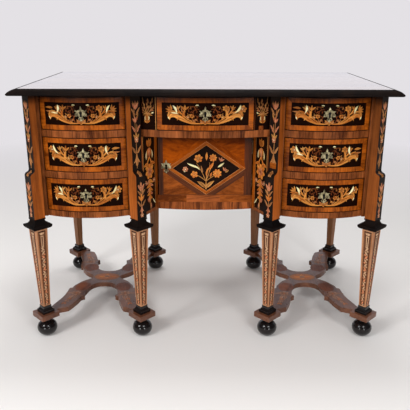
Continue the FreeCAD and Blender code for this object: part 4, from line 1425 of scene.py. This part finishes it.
# %% Stretcher inlay
stretcher_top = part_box("left_stretcher")[1].z
stretcher_woods = woods + [
    finish("reddish panel", (132, 70, 38), (72, 34, 18), length=0.03, width=0.004, contrast=2.0),
    finish("faded inlay", (178, 134, 108), (126, 88, 66), burnt=scorched, **inlay),
    finish("tan oval", (204, 128, 80), (140, 80, 44), burnt=scorched, **inlay)]
RED, FADED, TAN = range(len(woods), len(stretcher_woods))


def arm(panel):
    """Inlay of one arm, from the crossing to the block under the leg."""
    panel.strip((0.060, 0.052), 66, [(0.062, 14)],
                lambda t: 0.052 * math.sin(math.pi * (0.14 + 0.72 * t)) ** 0.8, RED, 0,
                steps=12, halves=4, scorch=lambda t, s: 0.5 * (1 - abs(s)))
    panel.flower((0.084, 0.132), 0.0165, 6, FADED, TAN, turn=20, level=2)
    for start, heading, length, turn in (((0.084, 0.120), 100, 0.040, 60), ((0.084, 0.120), 44, 0.040, -60),
                                         ((0.080, 0.146), 84, 0.034, -24), ((0.092, 0.146), 60, 0.034, 24)):
        panel.leaf(start, heading, length, 0.009, turn, FADED, 1)
    spine = ((0.088, 0.150), 66, [(0.062, 8)])
    panel.stem(*spine, 0.003, 0.002, FADED, 1)
    for k in range(3):
        spot = follow(*spine, 0.3 + 0.27 * k)[:2]
        for way in (1, -1):
            panel.leaf(spot, 70 - way * 40, 0.017, 0.006, way * 34, FADED if k % 2 else TAN, 2)


def medallion(panel):
    """Oval at the crossing, edged in a faded and a brown line, with leaves inside it."""
    ovals = ((0.048, FADED, 0.5), (0.0455, STEM, 0.5), (0.04, TAN, 0.25))
    for level, (radius, wood, scorch) in enumerate(ovals):
        panel.disc((0, 0), radius, wood, level, scorch, 0.62)
    for turn, length in ((0, 0.032), (180, 0.032), (90, 0.019), (270, 0.019)):
        panel.leaf((0, 0), turn, length, 0.012, 0, FRUIT, 3, 0.7, 0.7)
    panel.flower((0, 0), 0.011, 8, FADED, STEM, level=5)


def on_stretcher(x_middle, y_way):
    """Places points on a stretcher's top, towards the back or, turned over, the front."""
    return lambda p, q, lift: Vector((x_middle + p, y_way * q, stretcher_top + lift))


for side in ("left", "right"):
    centre = middle_of(side + "_stretcher")
    panel = Panel(None, seed=60)
    for panel.mirror in (-1, 1):
        panel.place = on_stretcher(centre.x, panel.mirror)
        for panel.side in (-1, 1):
            arm(panel)
    medallion(panel)
    panel.lay(side + "_stretcher_inlay", "case", finishes=stretcher_woods)
print("stretcher inlays at", round(stretcher_top * 1000), "mm")

# %% [markdown]
# Floor, air and lamps
#
# A plain pale floor takes the desk's shadow. The world gives even light from all sides;
# rays that a polished surface sends towards the back see it bright, as a studio wall
# would look in the top and in the black mouldings. For the camera the floor turns into
# the wall's plain colour some way off, so that no edge shows.

# %% Floor and world
floor_mesh = bmesh.new()
bmesh.ops.create_circle(floor_mesh, cap_ends=True, segments=64, radius=9.0)
floor_data = bpy.data.meshes.new("floor")
floor_mesh.to_mesh(floor_data)
floor_mesh.free()
floor = bpy.data.objects.new("floor", floor_data)
bpy.context.scene.collection.objects.link(floor)
floor_finish, floor_tree, floor_shader = new_material("pale floor")
floor_shader["Base Color"].default_value = shown(234, 231, 229)
floor_shader["Roughness"].default_value = 0.7
floor_data.materials.append(floor_finish)

wall_colour = shown(228, 225, 229)
wall_starts, wall_full = 1.2, 3.2
away = vector_math(floor_tree, "LENGTH", i0=here(floor_tree))["Value"]
far = math_node(floor_tree, "MULTIPLY", remap(floor_tree, away, wall_starts, wall_full),
                wire(floor_tree, "LightPath")["Is Camera Ray"])
joined = wire(floor_tree, "MixShader", Fac=far, i1=floor_tree.nodes["Principled BSDF"].outputs[0],
              i2=wire(floor_tree, "Emission", Color=wall_colour)[0])
floor_tree.links.new(joined[0], floor_tree.nodes["Material Output"].inputs["Surface"])

world = bpy.data.worlds.new("studio")
bpy.context.scene.world = world
world.use_nodes = True
air = world.node_tree
air.nodes.clear()
rays = wire(air, "LightPath")
lit, wall, window, room = (
    wire(air, "Background", Color=colour, Strength=strength)[0]
    for colour, strength in (((1.0, 1.0, 1.0, 1.0), 0.42), (wall_colour, 1.0),
                             (shown(245, 246, 255), 0.92), (shown(60, 60, 66), 1.0)))
facing = wire(air, "SeparateXYZ", Vector=wire(air, "TexCoord")["Generated"])["Y"]
mirrored = wire(air, "MixShader", Fac=remap(air, facing, 0.2, 0.75), i1=room, i2=window)[0]
polished = math_node(air, "MAXIMUM", rays["Is Glossy Ray"], rays["Is Transmission Ray"])
indirect = wire(air, "MixShader", Fac=polished, i1=lit, i2=mirrored)[0]
seen = wire(air, "MixShader", Fac=rays["Is Camera Ray"], i1=indirect, i2=wall)[0]
air.links.new(seen, air.nodes.new("ShaderNodeOutputWorld").inputs["Surface"])


# %% Lamps
def lamp(name, place, target, size, power):
    data = bpy.data.lights.new(name, "AREA")
    data.shape = "SQUARE"
    data.size = size
    data.energy = power
    obj = bpy.data.objects.new(name, data)
    bpy.context.scene.collection.objects.link(obj)
    obj.location = place
    obj.rotation_mode = "QUATERNION"
    obj.rotation_quaternion = (Vector(target) - Vector(place)).to_track_quat("-Z", "Y")


for name, place, aim_height, size, power in (
        ("softbox left", (-2.0, -2.0, 2.5), 0.4, 1.0, 54.0),
        ("softbox right", (1.0, -2.6, 2.6), 0.4, 1.0, 34.0),
        ("softbox above", (0.1, 0.6, 2.8), 0.4, 1.0, 34.0),
        ("low window left", (-1.0, -2.2, 0.35), 0.2, 0.35, 7.0),
        ("low window right", (0.9, -2.2, 0.35), 0.2, 0.35, 7.0)):
    lamp(name, place, (0.0, 0.0, aim_height), size, power)
print("lamps placed")

# %% [markdown]
# View transform
#
# The scene is shown through the Standard view transform.

# %% Finish
bpy.context.scene.view_settings.view_transform = "Standard"
